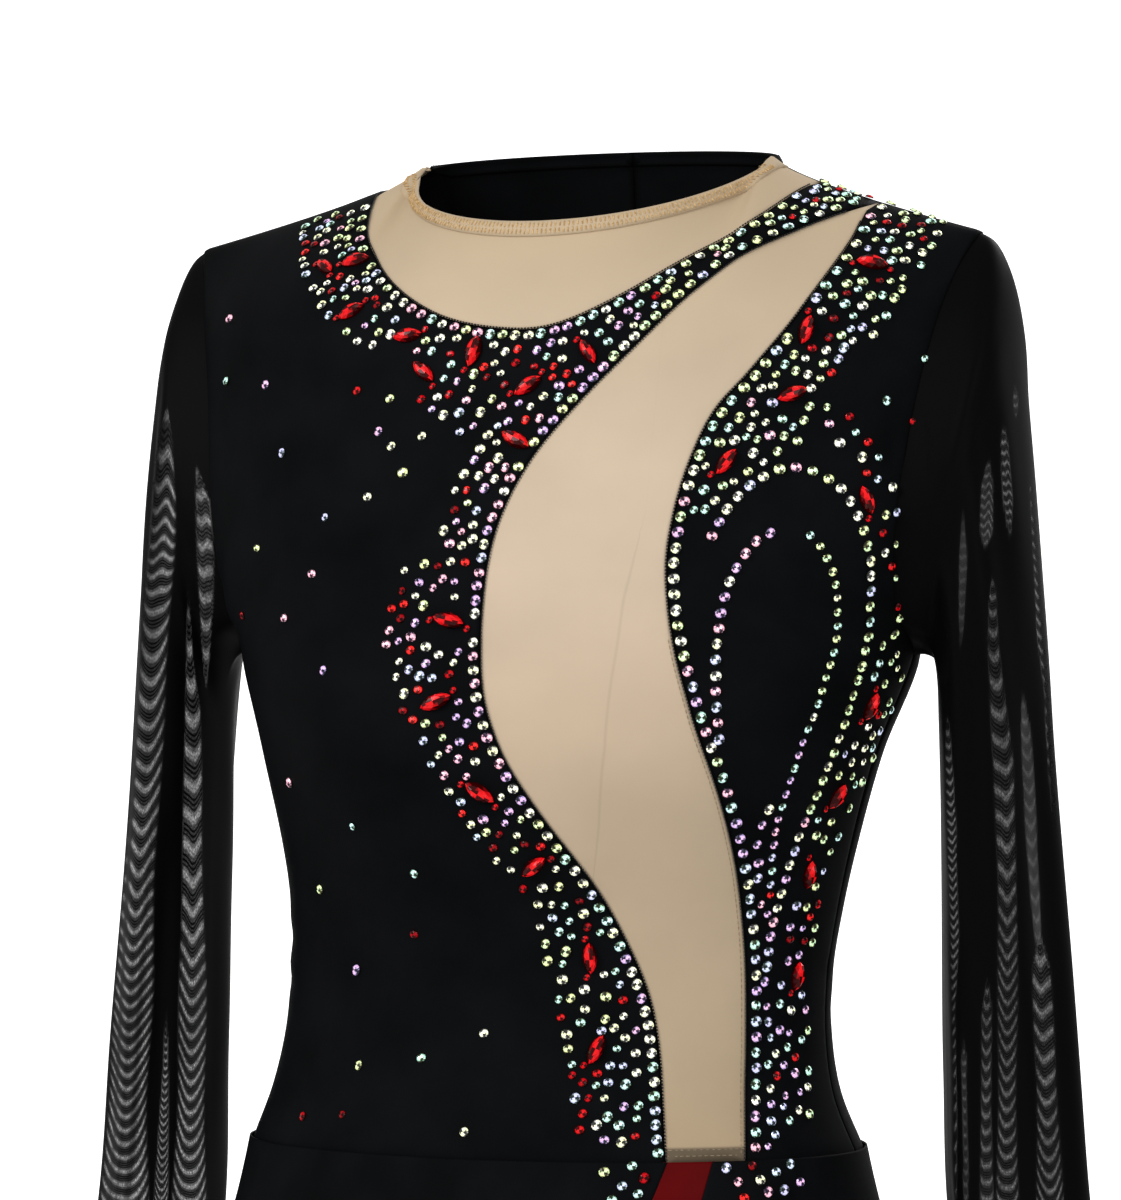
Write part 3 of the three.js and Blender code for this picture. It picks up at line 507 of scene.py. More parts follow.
def cut_panel(name, surface_name, outline, material, spacing=4.0, sink=0.0, groove=0.6, raised=None,
              thickness=LYCRA_THICKNESS):
    """A panel cut to an outline of (across, up) places and laid on its surface."""
    surface, sign, last = SURFACES[surface_name]
    edge = to_flat(surface_name, outline[:, 0], outline[:, 1])
    keep = np.linalg.norm(edge - np.roll(edge, 1, axis=0), axis=1) > 0.25
    edge = edge[keep]
    low, high = edge.min(0), edge.max(0)
    rows = np.arange(low[1], high[1], spacing * 0.866)
    grid = []
    for k, y in enumerate(rows):
        x = np.arange(low[0] + (k % 2) * spacing / 2, high[0], spacing)
        grid.append(np.stack([x, np.full(len(x), y)], -1))
    grid = np.concatenate(grid)
    grid = grid[inside_outline(grid, edge)]
    grid = grid[distance_to(grid, edge) > spacing * 0.9]
    run = np.roll(edge, -1, axis=0) - np.roll(edge, 1, axis=0)
    run /= np.maximum(np.linalg.norm(run, axis=1, keepdims=True), 1e-9)
    aside = np.stack([-run[:, 1], run[:, 0]], -1)
    area = 0.5 * np.sum(edge[:, 0] * np.roll(edge[:, 1], -1) - np.roll(edge[:, 0], -1) * edge[:, 1])
    ring = edge + aside * (1.6 if area > 0 else -1.6)
    ring = ring[inside_outline(ring, edge)]
    ring = ring[distance_to(ring, edge) > 1.2]
    flat = np.concatenate([edge, ring, grid])
    n = len(edge)
    loops = [(i, (i + 1) % n) for i in range(n)]
    made = geometry.delaunay_2d_cdt([Vector(p) for p in flat.tolist()], loops, [], 1, 1e-4)
    flat = np.array([tuple(p) for p in made[0]])
    faces = made[2]
    a, b = from_flat(surface_name, flat)
    point = surface(a, b)
    normal = outward(surface, a, b, sign, 0, last)
    off_edge = distance_to(flat, edge)
    dip = groove * np.exp(-(off_edge / 1.3) ** 2) + crease_depth(surface_name, flat)
    dip = dip + sink * smooth_step((flat[:, 1] - low[1] - 3) / 12)
    if raised is not None:
        dip = dip - raised(off_edge)
    point = point - normal * dip[:, None]
    p0, p1, p2 = (point[[f[k] for f in faces]] for k in range(3))
    turned = (np.cross(p1 - p0, p2 - p0) * normal[[f[0] for f in faces]]).sum(1) < 0
    faces = [list(f)[::-1] if t else list(f) for f, t in zip(faces, turned)]
    # The distance from the pressed line sets the painted crease shade of the insert; other panels get a far value
    crease_shade_distance = pressed_line(point) if name == "front_insert_cloth" else np.full(len(point), 60.0)
    made = mesh_object(name, point, faces, material, flat, {"off_edge": off_edge, "crease_shade_distance": crease_shade_distance})
    return thicken(made, thickness)


# Round and tubular pieces: sleeves and skirt
def flute_share(table, degrees):
    share = np.zeros(np.shape(degrees))
    for middle, width, depth in table:
        off = np.abs((degrees - middle + 540) % 360 - 180) / (width / 2)
        share += np.where(off < 1, depth * 0.5 * (1 + np.cos(np.pi * np.clip(off, 0, 1))), 0)
    return share


def armhole(hand, columns):
    """The armhole from the shoulder tip down the front and up the back, at even angles."""
    front_up = np.linspace(SHOULDER_ROW, ARMPIT_ROW, 161)
    back_up = np.linspace(ARMPIT_ROW, SHOULDER_ROW, 161)[1:]
    sides = np.concatenate([bodice(-1, np.full(161, hand), front_up), bodice(1, np.full(160, hand), back_up)])
    inner = hand * 0.985
    within = np.concatenate([bodice(-1, np.full(161, inner), front_up),
                             bodice(1, np.full(160, inner), back_up)])
    out_front = outward(FRONT, np.full(161, float(hand)), front_up, 1, 0, 12)
    out_back = outward(BACK, np.full(160, float(hand)), back_up, -1, 0, 12)
    out = np.concatenate([out_front, out_back])
    ups = np.concatenate([front_up, back_up])
    away = sides - within
    length = np.linalg.norm(away, axis=1, keepdims=True)
    low = np.clip(1 - (ups - ARMPIT_ROW) / 0.6, 0, 1)[:, None]
    away = away * (1 - low) + np.array([0, 0, 1.0]) * length * low
    away -= out * (away * out).sum(1, keepdims=True)
    away /= np.maximum(np.linalg.norm(away, axis=1, keepdims=True), 1e-9)
    steps = np.linalg.norm(np.diff(sides, axis=0), axis=1)
    run = np.concatenate([[0], np.cumsum(steps)])
    half = run[160]
    share = np.where(run < half, run / half / 2, 0.5 + (run - half) / (run[-1] - half) / 2)
    angle = np.arange(columns) / columns
    pick = lambda v: np.stack([np.interp(angle, share, v[:, k]) for k in range(3)], -1)
    return pick(sides), pick(away), pick(out), angle * 2 * np.pi, sides[0], sides[160]


def sleeve_lines(hand, rows, columns):
    point, away, out, angle, top, low = armhole(hand, columns)
    chord = low - top
    length = math.hypot(chord[0], chord[2])
    run_x, run_z = chord[0] / length, chord[2] / length
    dx, dz = point[:, 0] - top[0], point[:, 2] - top[2]
    loop_height = (dx * run_x + dz * run_z) / length
    loop_aside = -hand * (dx * run_z - dz * run_x)
    lines = [point - away * 1.4 - out * 1.0]  # the seam allowance, under the edge of the bodice
    for outer_x, outer_z, inner_x, inner_z, centre_y, half_depth, oval, flute in rows:
        height = loop_height + ((1 - np.cos(angle)) / 2 - loop_height) * oval
        y = point[:, 1] + (centre_y - half_depth * np.sin(angle) - point[:, 1]) * oval
        span_x, span_z = inner_x - outer_x, inner_z - outer_z
        span = math.hypot(span_x, span_z)
        aside = loop_aside * (1 - oval)
        line = np.stack([outer_x + span_x * height + span_z / span * aside, y,
                         outer_z + span_z * height - span_x / span * aside], -1)
        middle = np.array([(outer_x + inner_x) / 2, centre_y, (outer_z + inner_z) / 2])
        off = line - middle
        off /= np.linalg.norm(off, axis=1, keepdims=True)
        share = flute_share(SLEEVE_FLUTES, (np.degrees(angle) + (0 if hand < 0 else 24)) % 360)
        line = line + off * (flute * (share - 0.5))[:, None]
        line[:, 0] *= hand
        lines.append(line)
    return lines


# Soft folds of the sleeves: hand, degrees round, mm down, length, width, depth, lean in degrees
SLEEVE_FOLDS = [
    (-1, 60, 60, 110, 9, 2.2, 78), (-1, 96, 90, 150, 10, 2.0, 86), (-1, 140, 40, 90, 9, 2.4, 70),
    (-1, 30, 210, 190, 10, 1.8, 88), (-1, 118, 250, 210, 10, 1.9, 92), (-1, 80, 420, 240, 12, 2.4, 90),
    (-1, 150, 440, 200, 12, 2.0, 94), (-1, 215, 120, 170, 10, 2.0, 84), (-1, 262, 260, 230, 12, 2.2, 91),
    (-1, 310, 150, 160, 11, 1.8, 98), (-1, 330, 430, 220, 12, 2.2, 88), (-1, 190, 380, 200, 11, 1.7, 95),
    (1, 48, 70, 120, 9, 2.3, 98), (1, 84, 120, 170, 10, 2.2, 92), (1, 128, 60, 110, 9, 2.6, 104),
    (1, 20, 260, 220, 10, 1.9, 90), (1, 66, 330, 240, 11, 2.2, 88), (1, 104, 300, 200, 10, 2.0, 93),
    (1, 142, 420, 230, 12, 2.2, 90), (1, 205, 130, 180, 10, 2.0, 95), (1, 250, 240, 210, 12, 2.1, 87),
    (1, 296, 170, 170, 11, 1.8, 82), (1, 326, 400, 230, 12, 2.3, 92), (1, 180, 360, 200, 11, 1.8, 89),
]


# Bands of a sleeve where the net lies flat and lets light through, with wavy stripes of net over net:
# hand, how clear it is, how strong its stripes are, then rows of the view with the band's column and half
# width and the spacing of its stripes there
SLEEVE_BANDS = [
    (-1, 1.0, 1.0, [(402, 168, 0, 45), (440, 165.5, 8, 40), (500, 162, 12.5, 22), (560, 157.5, 15, 16.5),
                    (660, 151, 15.5, 23), (760, 144.5, 15.5, 21), (860, 139, 17.5, 21), (960, 133, 18, 15),
                    (1060, 128, 19.5, 14.5), (1180, 124.5, 22, 13), (1420, 118, 24, 12)]),
    (-1, 0.84, 1.0, [(578, 187, 0, 34), (660, 189, 3.5, 34), (710, 192.5, 7, 35), (760, 193.5, 7.5, 35),
                    (860, 193, 10.5, 31), (960, 192.5, 11.5, 22), (1060, 191, 13.5, 16), (1180, 190, 15, 14),
                    (1420, 188, 17, 13)]),
    (-1, 0.75, 0.9, [(462, 195, 0, 28), (500, 202, 6, 28), (560, 205, 7.5, 28), (600, 206, 7, 26),
                     (650, 206.5, 4, 26), (698, 207, 0, 26)]),
    (-1, 0.8, 1.0, [(1000, 166.5, 0, 8), (1060, 165.5, 2.5, 8), (1120, 163, 5, 8), (1180, 161, 6, 8),
                    (1420, 156, 7, 8)]),
    (1, 0.38, 0.9, [(420, 1004, 0, 11), (445, 1005, 4, 10.5), (500, 1008, 4.5, 10), (545, 1010, 0, 10)]),
    (1, 0.33, 0.6, [(455, 990, 0, 10), (485, 988, 5.5, 10), (530, 987, 6, 10), (552, 986, 0, 10)]),
    (1, 0.36, 0.7, [(380, 1014, 0, 9), (400, 1015, 3, 9), (430, 1016, 0, 9)]),
    (1, 0.85, 1.0, [(470, 1030, 0, 17), (490, 1033, 3.5, 17), (560, 1038, 5, 12.5), (635, 1042, 6, 13.5),
                   (690, 1048, 3.5, 15), (780, 1053, 3, 19), (860, 1058, 0, 20)]),
    (1, 0.34, 0.95, [(570, 992, 0, 15), (600, 992, 4, 15), (645, 993, 6, 22), (700, 998, 7.5, 30),
                     (760, 1004, 9, 28), (860, 1007, 10, 26), (960, 1007, 9, 15.5), (1060, 1007, 9, 16),
                     (1180, 1008, 10, 15), (1420, 1010, 12, 14)]),
    (1, 0.38, 0.25, [(685, 1021, 0, 18), (730, 1025, 4.5, 18), (830, 1031, 6, 18), (900, 1036, 5, 18),
                    (940, 1039, 3, 18), (955, 1040, 0, 18)]),
    (1, 0.43, 1.0, [(930, 1040, 0, 25), (970, 1042, 8, 28), (1060, 1045, 10, 24), (1180, 1049, 12, 15),
                    (1420, 1056, 14, 14)]),
    (1, 0.42, 1.0, [(705, 947, 0, 14), (740, 948, 2.5, 14), (830, 952, 5.5, 9), (937, 954, 5, 9.5),
                    (1010, 951, 3, 11.5), (1110, 953, 4, 18), (1190, 954, 3, 22), (1420, 956, 4, 22)]),
    (1, 0.34, 0.9, [(975, 987, 0, 16), (1010, 987, 4.5, 16), (1180, 987, 6, 16), (1420, 986, 7, 16)]),
    (1, 0.3, 0.6, [(1030, 964, 0, 12), (1060, 964, 2.5, 12), (1172, 965, 2.5, 12), (1300, 965, 0, 12)]),
    (1, 0.22, 0.2, [(404, 927, 0, 12), (430, 928, 4, 12), (470, 931, 3, 12), (486, 932, 0, 12)]),
    (1, 0.25, 0.2, [(500, 962, 0, 12), (560, 963, 4, 12), (620, 962, 3, 12), (660, 961, 0, 12)]),
]
LOWEST_ROW = 1760  # just below the cuffs
MM_PER_DEGREE = 0.75  # round a sleeve
NET_PER_COLUMN = 1.875  # mm of laid-out net for a column of the mesh


def sleeve_bands(hand, point, facing):
    """For each point: how much light passes, the strength of the stripes, and their running number."""
    column, row = np.moveaxis(view_place(point), -1, 0)
    see = np.zeros(row.shape)
    see_far = np.zeros(row.shape)
    stripes = np.zeros(row.shape)
    bend = np.zeros(row.shape)
    for side, clear, striped, rows in SLEEVE_BANDS:
        if side != hand:
            continue
        deep, at, half, gap = (np.array(rows, float)[:, k] for k in range(4))
        every = np.arange(deep[0], LOWEST_ROW, 4.0)
        gap_here = np.interp(row, deep, gap)
        passed = np.interp(row, every, np.cumsum(4.0 / np.interp(every, deep, gap)))
        at = np.interp(row, deep, at) + 0.8 * np.sin(row / 66 + at[0])
        half = np.interp(row, deep, half, left=0, right=half[-1]) * (1 + 0.1 * np.sin(row / 37))
        off = (column - at) / np.maximum(half, 0.5)
        strength = clear * smooth_step((1.12 - np.abs(off)) / 0.3) * smooth_step(half / 3)
        strength = strength * (0.92 + 0.14 * np.sin(row / 57 + at[0, 0]) + 0.1 * np.sin(row / 21 + 2 * off))
        far = smooth_step((half + 4 - np.abs(column - at)) / 4) * smooth_step(half / 2)
        see_far = np.maximum(see_far, far)
        chosen = strength > see
        see = np.where(chosen, strength, see)
        stripes = np.where(chosen, striped, stripes)
        wide = np.minimum(half / 15, 1.1)
        sharp = np.sqrt(off * off + 0.35) - 0.59
        deeper = -0.4 + 1.4 * smooth_step((row - 470) / 230) + 0.3 * np.sin(row / 71 + at[0, 0])
        shape = 2.9 * sharp * wide * deeper + 0.25 * wide * np.sin(4.6 * off + row / 83) * (1.6 - deeper)
        bend = np.where(chosen & (np.abs(off) < 1.5), passed + shape * 13 / gap_here, bend)
    # The far wall has its own clear bands where the near ones are, so that light comes through both
    near = smooth_step((facing + 0.3) / 0.2)
    edge_on = smooth_step((np.abs(facing) - 0.2) / 0.25)
    see = (see * near + see_far * (1 - near)) * edge_on
    stripes = stripes * near + 0.3 * (1 - near)
    return see, stripes, bend + 0.12 * np.sin(row / 41)


def sleeve_piece(name, hand, rows, material):
    columns, steps = 240, 200
    lines = sleeve_lines(hand, rows, columns)
    lines = [2 * lines[0] - lines[1]] + lines + [2 * lines[-1] - lines[-2]]
    places = np.linspace(0, len(lines) - 3, steps + 1)
    grid = np.stack([along(lines, np.full(columns, p)) for p in places])
    down = np.concatenate([[0], np.cumsum(np.linalg.norm(np.diff(grid, axis=0), axis=2).mean(1))])
    ahead, behind = np.roll(grid, -1, axis=1), np.roll(grid, 1, axis=1)
    normal = np.cross(ahead - behind, np.gradient(grid, axis=0)) * (-hand)
    normal /= np.maximum(np.linalg.norm(normal, axis=2, keepdims=True), 1e-9)
    middle = grid.mean(1, keepdims=True)
    if ((grid - middle) * normal).sum() < 0:
        normal = -normal
    degrees = np.arange(columns) * 360 / columns
    around, below = np.meshgrid(degrees, down)
    move = np.zeros(around.shape)
    for side, at, deep, length, width, depth, lean in SLEEVE_FOLDS:
        if side != hand:
            continue
        off = ((around - at + 540) % 360 - 180) * MM_PER_DEGREE
        move += soft_fold(off, below - deep, length, width, depth, lean, 0.0012, 0.6, 1.6)
    ease = smooth_step(below / 30)
    hem = 1.2 * np.exp(-((below - (down[-1] - 9)) / 1.6) ** 2)
    grid = grid - normal * (move * ease * 0.6 + hem)[..., None]
    faces, corners = [], []
    for r in range(steps):
        for c in range(columns):
            d = (c + 1) % columns
            faces.append((r * columns + c, r * columns + d, (r + 1) * columns + d, (r + 1) * columns + c))
            corners += [(c, r), (c + 1, r), (c + 1, r + 1), (c, r + 1)]
    points = grid.reshape(-1, 3)
    p0, p1, p2 = (points[[f[k] for f in faces[:columns]]] for k in range(3))
    if (np.cross(p1 - p0, p2 - p0) * normal.reshape(-1, 3)[[f[0] for f in faces[:columns]]]).sum() < 0:
        faces = [f[::-1] for f in faces]
        corners = [corners[4 * (i // 4) + 3 - i % 4] for i in range(len(corners))]
    see, striped, count = sleeve_bands(hand, grid, normal @ TOWARDS)
    hem_layers = 0.7 * smooth_step((below - down[-1] + 14) / 2)
    see = see * (1 - hem_layers)
    made = mesh_object(name, points, faces, material, values={
        "see": see.reshape(-1), "striped": striped.reshape(-1), "stripes": count.reshape(-1)})
    layer = made.data.uv_layers.new(name="cloth")
    corners = np.array(corners, float)
    flat = np.stack([corners[:, 0] * NET_PER_COLUMN, down[corners[:, 1].astype(int)]], -1) / 1000
    layer.data.foreach_set("uv", flat.reshape(-1))
    return made


def skirt_point(degrees, row_values):
    """The skirt at these degrees round from the front, for rows of height, stand-off and flute depth."""
    height, off, flute = (row_values[..., k] for k in range(3))
    _, _, half_width, _, front_depth, centre_y, centre_x = FRONT_SECTIONS[0]
    back_depth = BACK_SECTIONS[0][4]
    angle = np.radians(degrees)
    depth = np.where(np.cos(angle) > 0, front_depth, back_depth)
    wave = flute * flute_share(SKIRT_FLUTES, (degrees + 720) % 360)
    x = centre_x + (half_width + off + wave) * np.sin(angle)
    y = centre_y - (depth + off + wave) * np.cos(angle)
    return np.stack([x, y, height], -1)


# Smaller folds of the skirt between its flutes: degrees, width, share of the flute depth
SKIRT_FOLDS = [(8, 9, 0.16), (36, 11, 0.2), (71, 12, 0.16), (80, 8, 0.1), (112, 10, 0.22), (147, 12, 0.15),
               (158, 8, 0.12), (183, 10, 0.18), (214, 9, 0.15), (226, 11, 0.2), (255, 12, 0.13),
               (288, 9, 0.17), (300, 11, 0.12), (331, 12, 0.2), (344, 8, 0.14)]


def skirt_piece(name, start_column, end_column, turn_back, steps, material, under=0.0):
    """A part of the skirt between two seams; under is how many degrees it runs beneath its neighbours."""
    table = [np.array(row, float) for row in SKIRT_ROWS]
    table = [2 * table[0] - table[1]] + table + [2 * table[-1] - table[-2]]
    values = along(table, np.linspace(0, len(SKIRT_ROWS) - 1, SKIRT_STEPS + 1))
    gap = math.degrees(0.15 / 150)  # 0.15 mm at a radius of 150 mm
    start = values[:, start_column] + gap - under
    end = values[:, end_column] + turn_back - gap + under
    share = np.linspace(0, 1, steps + 1)
    degrees = start[:, None] + (end - start)[:, None] * share[None]
    spread = np.broadcast_to(values[:, None, :], degrees.shape + (5,))
    grid = skirt_point(degrees, spread)
    out = np.stack([np.sin(np.radians(degrees)), -np.cos(np.radians(degrees)), np.zeros(degrees.shape)], -1)
    ripple = flute_share(SKIRT_FOLDS, (degrees + 720) % 360) * spread[..., 2] * 0.5
    below = np.abs(spread[..., 0] - SKIRT_ROWS[0][0])
    hem = -0.9 * np.exp(-((spread[..., 0] - (SKIRT_ROWS[-1][0] + 7)) / 1.4) ** 2)
    dip = np.zeros(degrees.shape)
    if under:
        edge = np.minimum(degrees - start[:, None], end[:, None] - degrees)
        dip = -1.1 * (1 - smooth_step((edge / under - 0.5) / 0.5))
    grid = grid + out * (ripple * smooth_step(below / 60) + hem + dip)[..., None]
    faces = []
    columns = steps + 1
    for r in range(SKIRT_STEPS):
        for c in range(steps):
            k = r * columns + c
            faces.append((k, k + columns, k + columns + 1, k + 1))
    flat = np.stack([degrees * 3.2, -below], -1).reshape(-1, 2)
    made = mesh_object(name, grid.reshape(-1, 3), faces, material, flat)
    return thicken(made, LYCRA_THICKNESS)


# Shader trees
def set_inputs(tree, node, inputs):
    """Each input is a value, or another node's output, which is linked to it."""
    for socket, value in inputs.items():
        if isinstance(value, bpy.types.NodeSocket):
            tree.links.new(value, node.inputs[socket])
        else:
            node.inputs[socket].default_value = value


def add_node(tree, kind, inputs=None, **settings):
    made = tree.nodes.new(kind)
    for key, value in settings.items():
        setattr(made, key, value)
    set_inputs(tree, made, inputs or {})
    return made


def new_material(name, **inputs):
    """A material and its tree and shader. Underscores in the names of the inputs stand for spaces."""
    material = bpy.data.materials.new(name)
    material.use_nodes = True
    tree = material.node_tree
    shader = tree.nodes["Principled BSDF"]
    set_inputs(tree, shader, {socket.replace("_", " "): value for socket, value in inputs.items()})
    return material, tree, shader


def calculate(tree, operation, *inputs, **settings):
    made = add_node(tree, "ShaderNodeMath", dict(enumerate(inputs)), operation=operation, **settings)
    return made.outputs[0]


def remap(tree, value, low, high, to_low, to_high, kind="LINEAR"):
    inputs = {"Value": value, "From Min": low, "From Max": high, "To Min": to_low, "To Max": to_high}
    return add_node(tree, "ShaderNodeMapRange", inputs, interpolation_type=kind).outputs["Result"]


def noise(tree, place, scale, detail):
    made = add_node(tree, "ShaderNodeTexNoise", {"Vector": place, "Scale": scale, "Detail": detail})
    return made.outputs["Fac"]


def colours(tree, value, stops):
    """A colour that runs through stops of a place and an sRGB hex colour."""
    ramp = add_node(tree, "ShaderNodeValToRGB", {"Fac": value})
    elements = ramp.color_ramp.elements
    while len(elements) < len(stops):
        elements.new(0.5)
    for element, (place, colour) in zip(elements, stops):
        element.position = place
        element.color = linear(colour) if isinstance(colour, str) else (colour, colour, colour, 1)
    return ramp.outputs["Color"]


def shaded(tree, colour, shade):
    return add_node(tree, "ShaderNodeMix", {0: 1.0, 6: colour, 7: shade}, data_type="RGBA",
                    blend_type="MULTIPLY").outputs[2]


def point_value(tree, name):
    made = add_node(tree, "ShaderNodeAttribute", attribute_type="GEOMETRY", attribute_name=name)
    return made.outputs["Fac"]


def cloth_place(tree):
    return add_node(tree, "ShaderNodeUVMap", uv_map="cloth").outputs["UV"]


def object_place(tree):
    return add_node(tree, "ShaderNodeTexCoord").outputs["Object"]


def relief(tree, height, strength, distance=KNIT_RELIEF, **under):
    inputs = {"Strength": strength, "Distance": distance, "Height": height, **under}
    return add_node(tree, "ShaderNodeBump", inputs).outputs["Normal"]


def knit_ribs(tree, place, **detail):
    """Upright ribs of the knit. The real ones are 0.35 mm apart; drawn at 1.1 mm so that they show."""
    return add_node(tree, "ShaderNodeTexWave", {"Vector": place, "Scale": 290.0, "Distortion": 0.6, **detail},
                    wave_type="BANDS", bands_direction="X").outputs["Color"]


def net_holes(tree, place, scale):
    """The holes of a fine net. The real ones are 0.4 mm; drawn at about 1.2 mm so that they show."""
    return add_node(tree, "ShaderNodeTexVoronoi", {"Vector": place, "Scale": scale},
                    feature="DISTANCE_TO_EDGE").outputs["Distance"]


# Materials
def black_lycra(name, seam_painted_shade):
    # Warp-knitted nylon and elastane: a matte near-black with a soft sheen where it turns away,
    # fine upright ribs of the knit, and painted shade along the panel edges, where the cloth dips into its seam
    # groove.
    material, tree, shader = new_material(
        name, Roughness=0.6, Specular_IOR_Level=0.018, Sheen_Weight=0.004, Sheen_Roughness=0.35,
        Sheen_Tint=linear("#9AA0AC"))
    place = cloth_place(tree)
    cloud = noise(tree, place, 26.0, 3.0)
    tone = colours(tree, cloud, [(0.3, "#08090A"), (0.7, "#0E0F11")])
    # Painted shade: the colour darkens to the given share within 2.2 mm of a panel edge
    seam_groove_shade = remap(tree, point_value(tree, "off_edge"), 0.0, 2.2, seam_painted_shade, 1.0)
    ribs = relief(tree, knit_ribs(tree, place, **{"Detail": 1.0, "Detail Scale": 4.0}), 0.25)
    set_inputs(tree, shader, {"Base Color": shaded(tree, tone, seam_groove_shade),
                              "Normal": relief(tree, cloud, 0.3, 0.0012, Normal=ribs)})
    return material


def nude_stretch_mesh():
    # Fine power mesh in a skin tone: matte, with painted shade by height (darker lower down, a little darker at
    # the top), soft blotches where it is stretched, a painted shade line along a pressed crease and a faint net
    # of holes.
    material, tree, shader = new_material(
        "nude stretch mesh", Roughness=0.74, Specular_IOR_Level=0.22, Sheen_Weight=0.06, Sheen_Roughness=0.5,
        Sheen_Tint=linear("#F0E2CC"))
    place = cloth_place(tree)
    height = add_node(tree, "ShaderNodeSeparateXYZ", {"Vector": object_place(tree)}).outputs["Z"]
    # Painted shade by height: lightest about 190 mm below the top, darker towards the bottom and a little darker
    # towards the top
    tone = colours(tree, remap(tree, height, -0.45, 0.0, 0.0, 1.0), [
        (0.0, "#AE987B"), (0.12, "#B7A387"), (0.45, "#C6B198"), (0.58, "#CFBBA3"), (0.75, "#C7B49B"),
        (1.0, "#BCA687")])
    mixed = shaded(tree, tone, remap(tree, noise(tree, place, 18.0, 4.0), 0.3, 0.7, 0.94, 1.04))
    # Two layers and the turned-in seam allowance look darker along the bottom 6 mm of the insert
    hem = remap(tree, height, -0.4411, -0.4394, 0.3, 1.0, "SMOOTHSTEP")
    # Painted crease shade: up to 10% darker within about a millimetre of the pressed line
    away = calculate(tree, "ABSOLUTE", point_value(tree, "crease_shade_distance"))
    line = remap(tree, away, 0.1, 1.1, 0.9, 1.0, "SMOOTHSTEP")
    set_inputs(tree, shader, {"Base Color": shaded(tree, mixed, calculate(tree, "MULTIPLY", hem, line)),
                              "Normal": relief(tree, net_holes(tree, place, 830.0), 0.18)})
    return material


def red_lycra():
    # The red gore: the same knit dyed deep red, with a soft satin sheen on its folds
    material, tree, shader = new_material("deep red lycra", Roughness=0.5, Specular_IOR_Level=0.04,
                                          Sheen_Weight=0.008, Sheen_Tint=linear("#C03040"))
    place = cloth_place(tree)
    tone = colours(tree, noise(tree, place, 30.0, 3.0), [(0.3, "#4E0204"), (0.7, "#5E0406")])
    set_inputs(tree, shader, {"Base Color": tone, "Normal": relief(tree, knit_ribs(tree, place), 0.2)})
    return material


def sheer_black_mesh():
    # Fine black power net. Light comes through where it lies flat, in wavy stripes where one layer
    # of net is seen over another, and the stacked folds between those bands look solid black.
    material, tree, shader = new_material("sheer black mesh", Base_Color=linear("#060607"), Roughness=0.5,
                                          Specular_IOR_Level=0.025)
    place = cloth_place(tree)
    count = point_value(tree, "stripes")
    swing = calculate(tree, "SINE", calculate(tree, "MULTIPLY", count, 2 * math.pi))
    narrow = calculate(tree, "POWER", remap(tree, swing, -1.0, 1.0, 0.0, 1.0), 2.6)
    stripe = calculate(tree, "MULTIPLY_ADD", narrow, 0.74, 0.06)
    # The net's own threads, drawn six to a stripe and wavering like it
    threads = calculate(tree, "SINE", calculate(tree, "MULTIPLY", count, 12 * math.pi))
    lined = calculate(tree, "MULTIPLY_ADD", threads, 0.1, stripe)
    speckle = remap(tree, noise(tree, place, 420.0, 2.0), 0.3, 0.7, 0.8, 1.2)
    # Drawn-out threads, about 1.5 mm apart, run down the sleeve through the stripes
    drawn = add_node(tree, "ShaderNodeMapping", {"Vector": place, "Scale": (1.0, 1.0, 0.03)})
    streaks = remap(tree, noise(tree, drawn.outputs["Vector"], 650.0, 1.0), 0.3, 0.7, 0.35, 1.45)
    pattern = calculate(tree, "MULTIPLY", calculate(tree, "MULTIPLY", lined, speckle), streaks)
    chosen = add_node(tree, "ShaderNodeMix", {0: point_value(tree, "striped"), 2: 0.5, 3: pattern},
                      data_type="FLOAT").outputs[0]
    light = calculate(tree, "MULTIPLY", chosen, point_value(tree, "see"))
    set_inputs(tree, shader, {"Alpha": remap(tree, light, 0.0, 1.0, 0.998, 0.36),
                              "Normal": relief(tree, net_holes(tree, place, 900.0), 0.2)})
    return material


def foiled_glass(name, tints, dark, metallic):
    """Lead-free crystal, machine cut and foiled behind. The flashes of the facets are painted: their stored
    brightness paints highlights and shade from near black to white into the colour, and the brightest facets glow
    with a painted emission.
    """
    material, tree, shader = new_material(name, Roughness=0.18, Metallic=metallic, Specular_IOR_Level=0.2)
    facet_glint = point_value(tree, "facet_glint")
    shift = calculate(tree, "MULTIPLY_ADD", facet_glint, 0.22, -0.11)
    tint = calculate(tree, "ADD", point_value(tree, "tint"), shift, use_clamp=True)
    colour = colours(tree, tint, tints)
    # Painted highlight and shade: the stored glint turns into a brightness from dark to white
    light = colours(tree, facet_glint, [(0.0, dark), (0.3, 0.12), (0.55, 0.42), (0.8, 0.95), (1.0, 1.0)])
    # Painted glow: the brighter facets emit their own colour, at full strength from a glint of 0.85
    set_inputs(tree, shader, {"Base Color": shaded(tree, colour, light), "Emission Color": colour,
                              "Emission Strength": remap(tree, facet_glint, 0.4, 0.85, 0.0, 1.0, "SMOOTHSTEP")})
    return material


def thread_finish(name, pale, deep):
    """Spun polyester sewing thread: matte, with a slightly darker twist."""
    material, tree, shader = new_material(name, Roughness=0.7, Specular_IOR_Level=0.25, Sheen_Weight=0.1)
    twist = noise(tree, object_place(tree), 900.0, 2.0)
    set_inputs(tree, shader, {"Base Color": colours(tree, twist, [(0.35, deep), (0.65, pale)])})
    return material


# Camera and stage
def link(name, data):
    made = bpy.data.objects.new(name, data)
    bpy.context.scene.collection.objects.link(made)
    return made


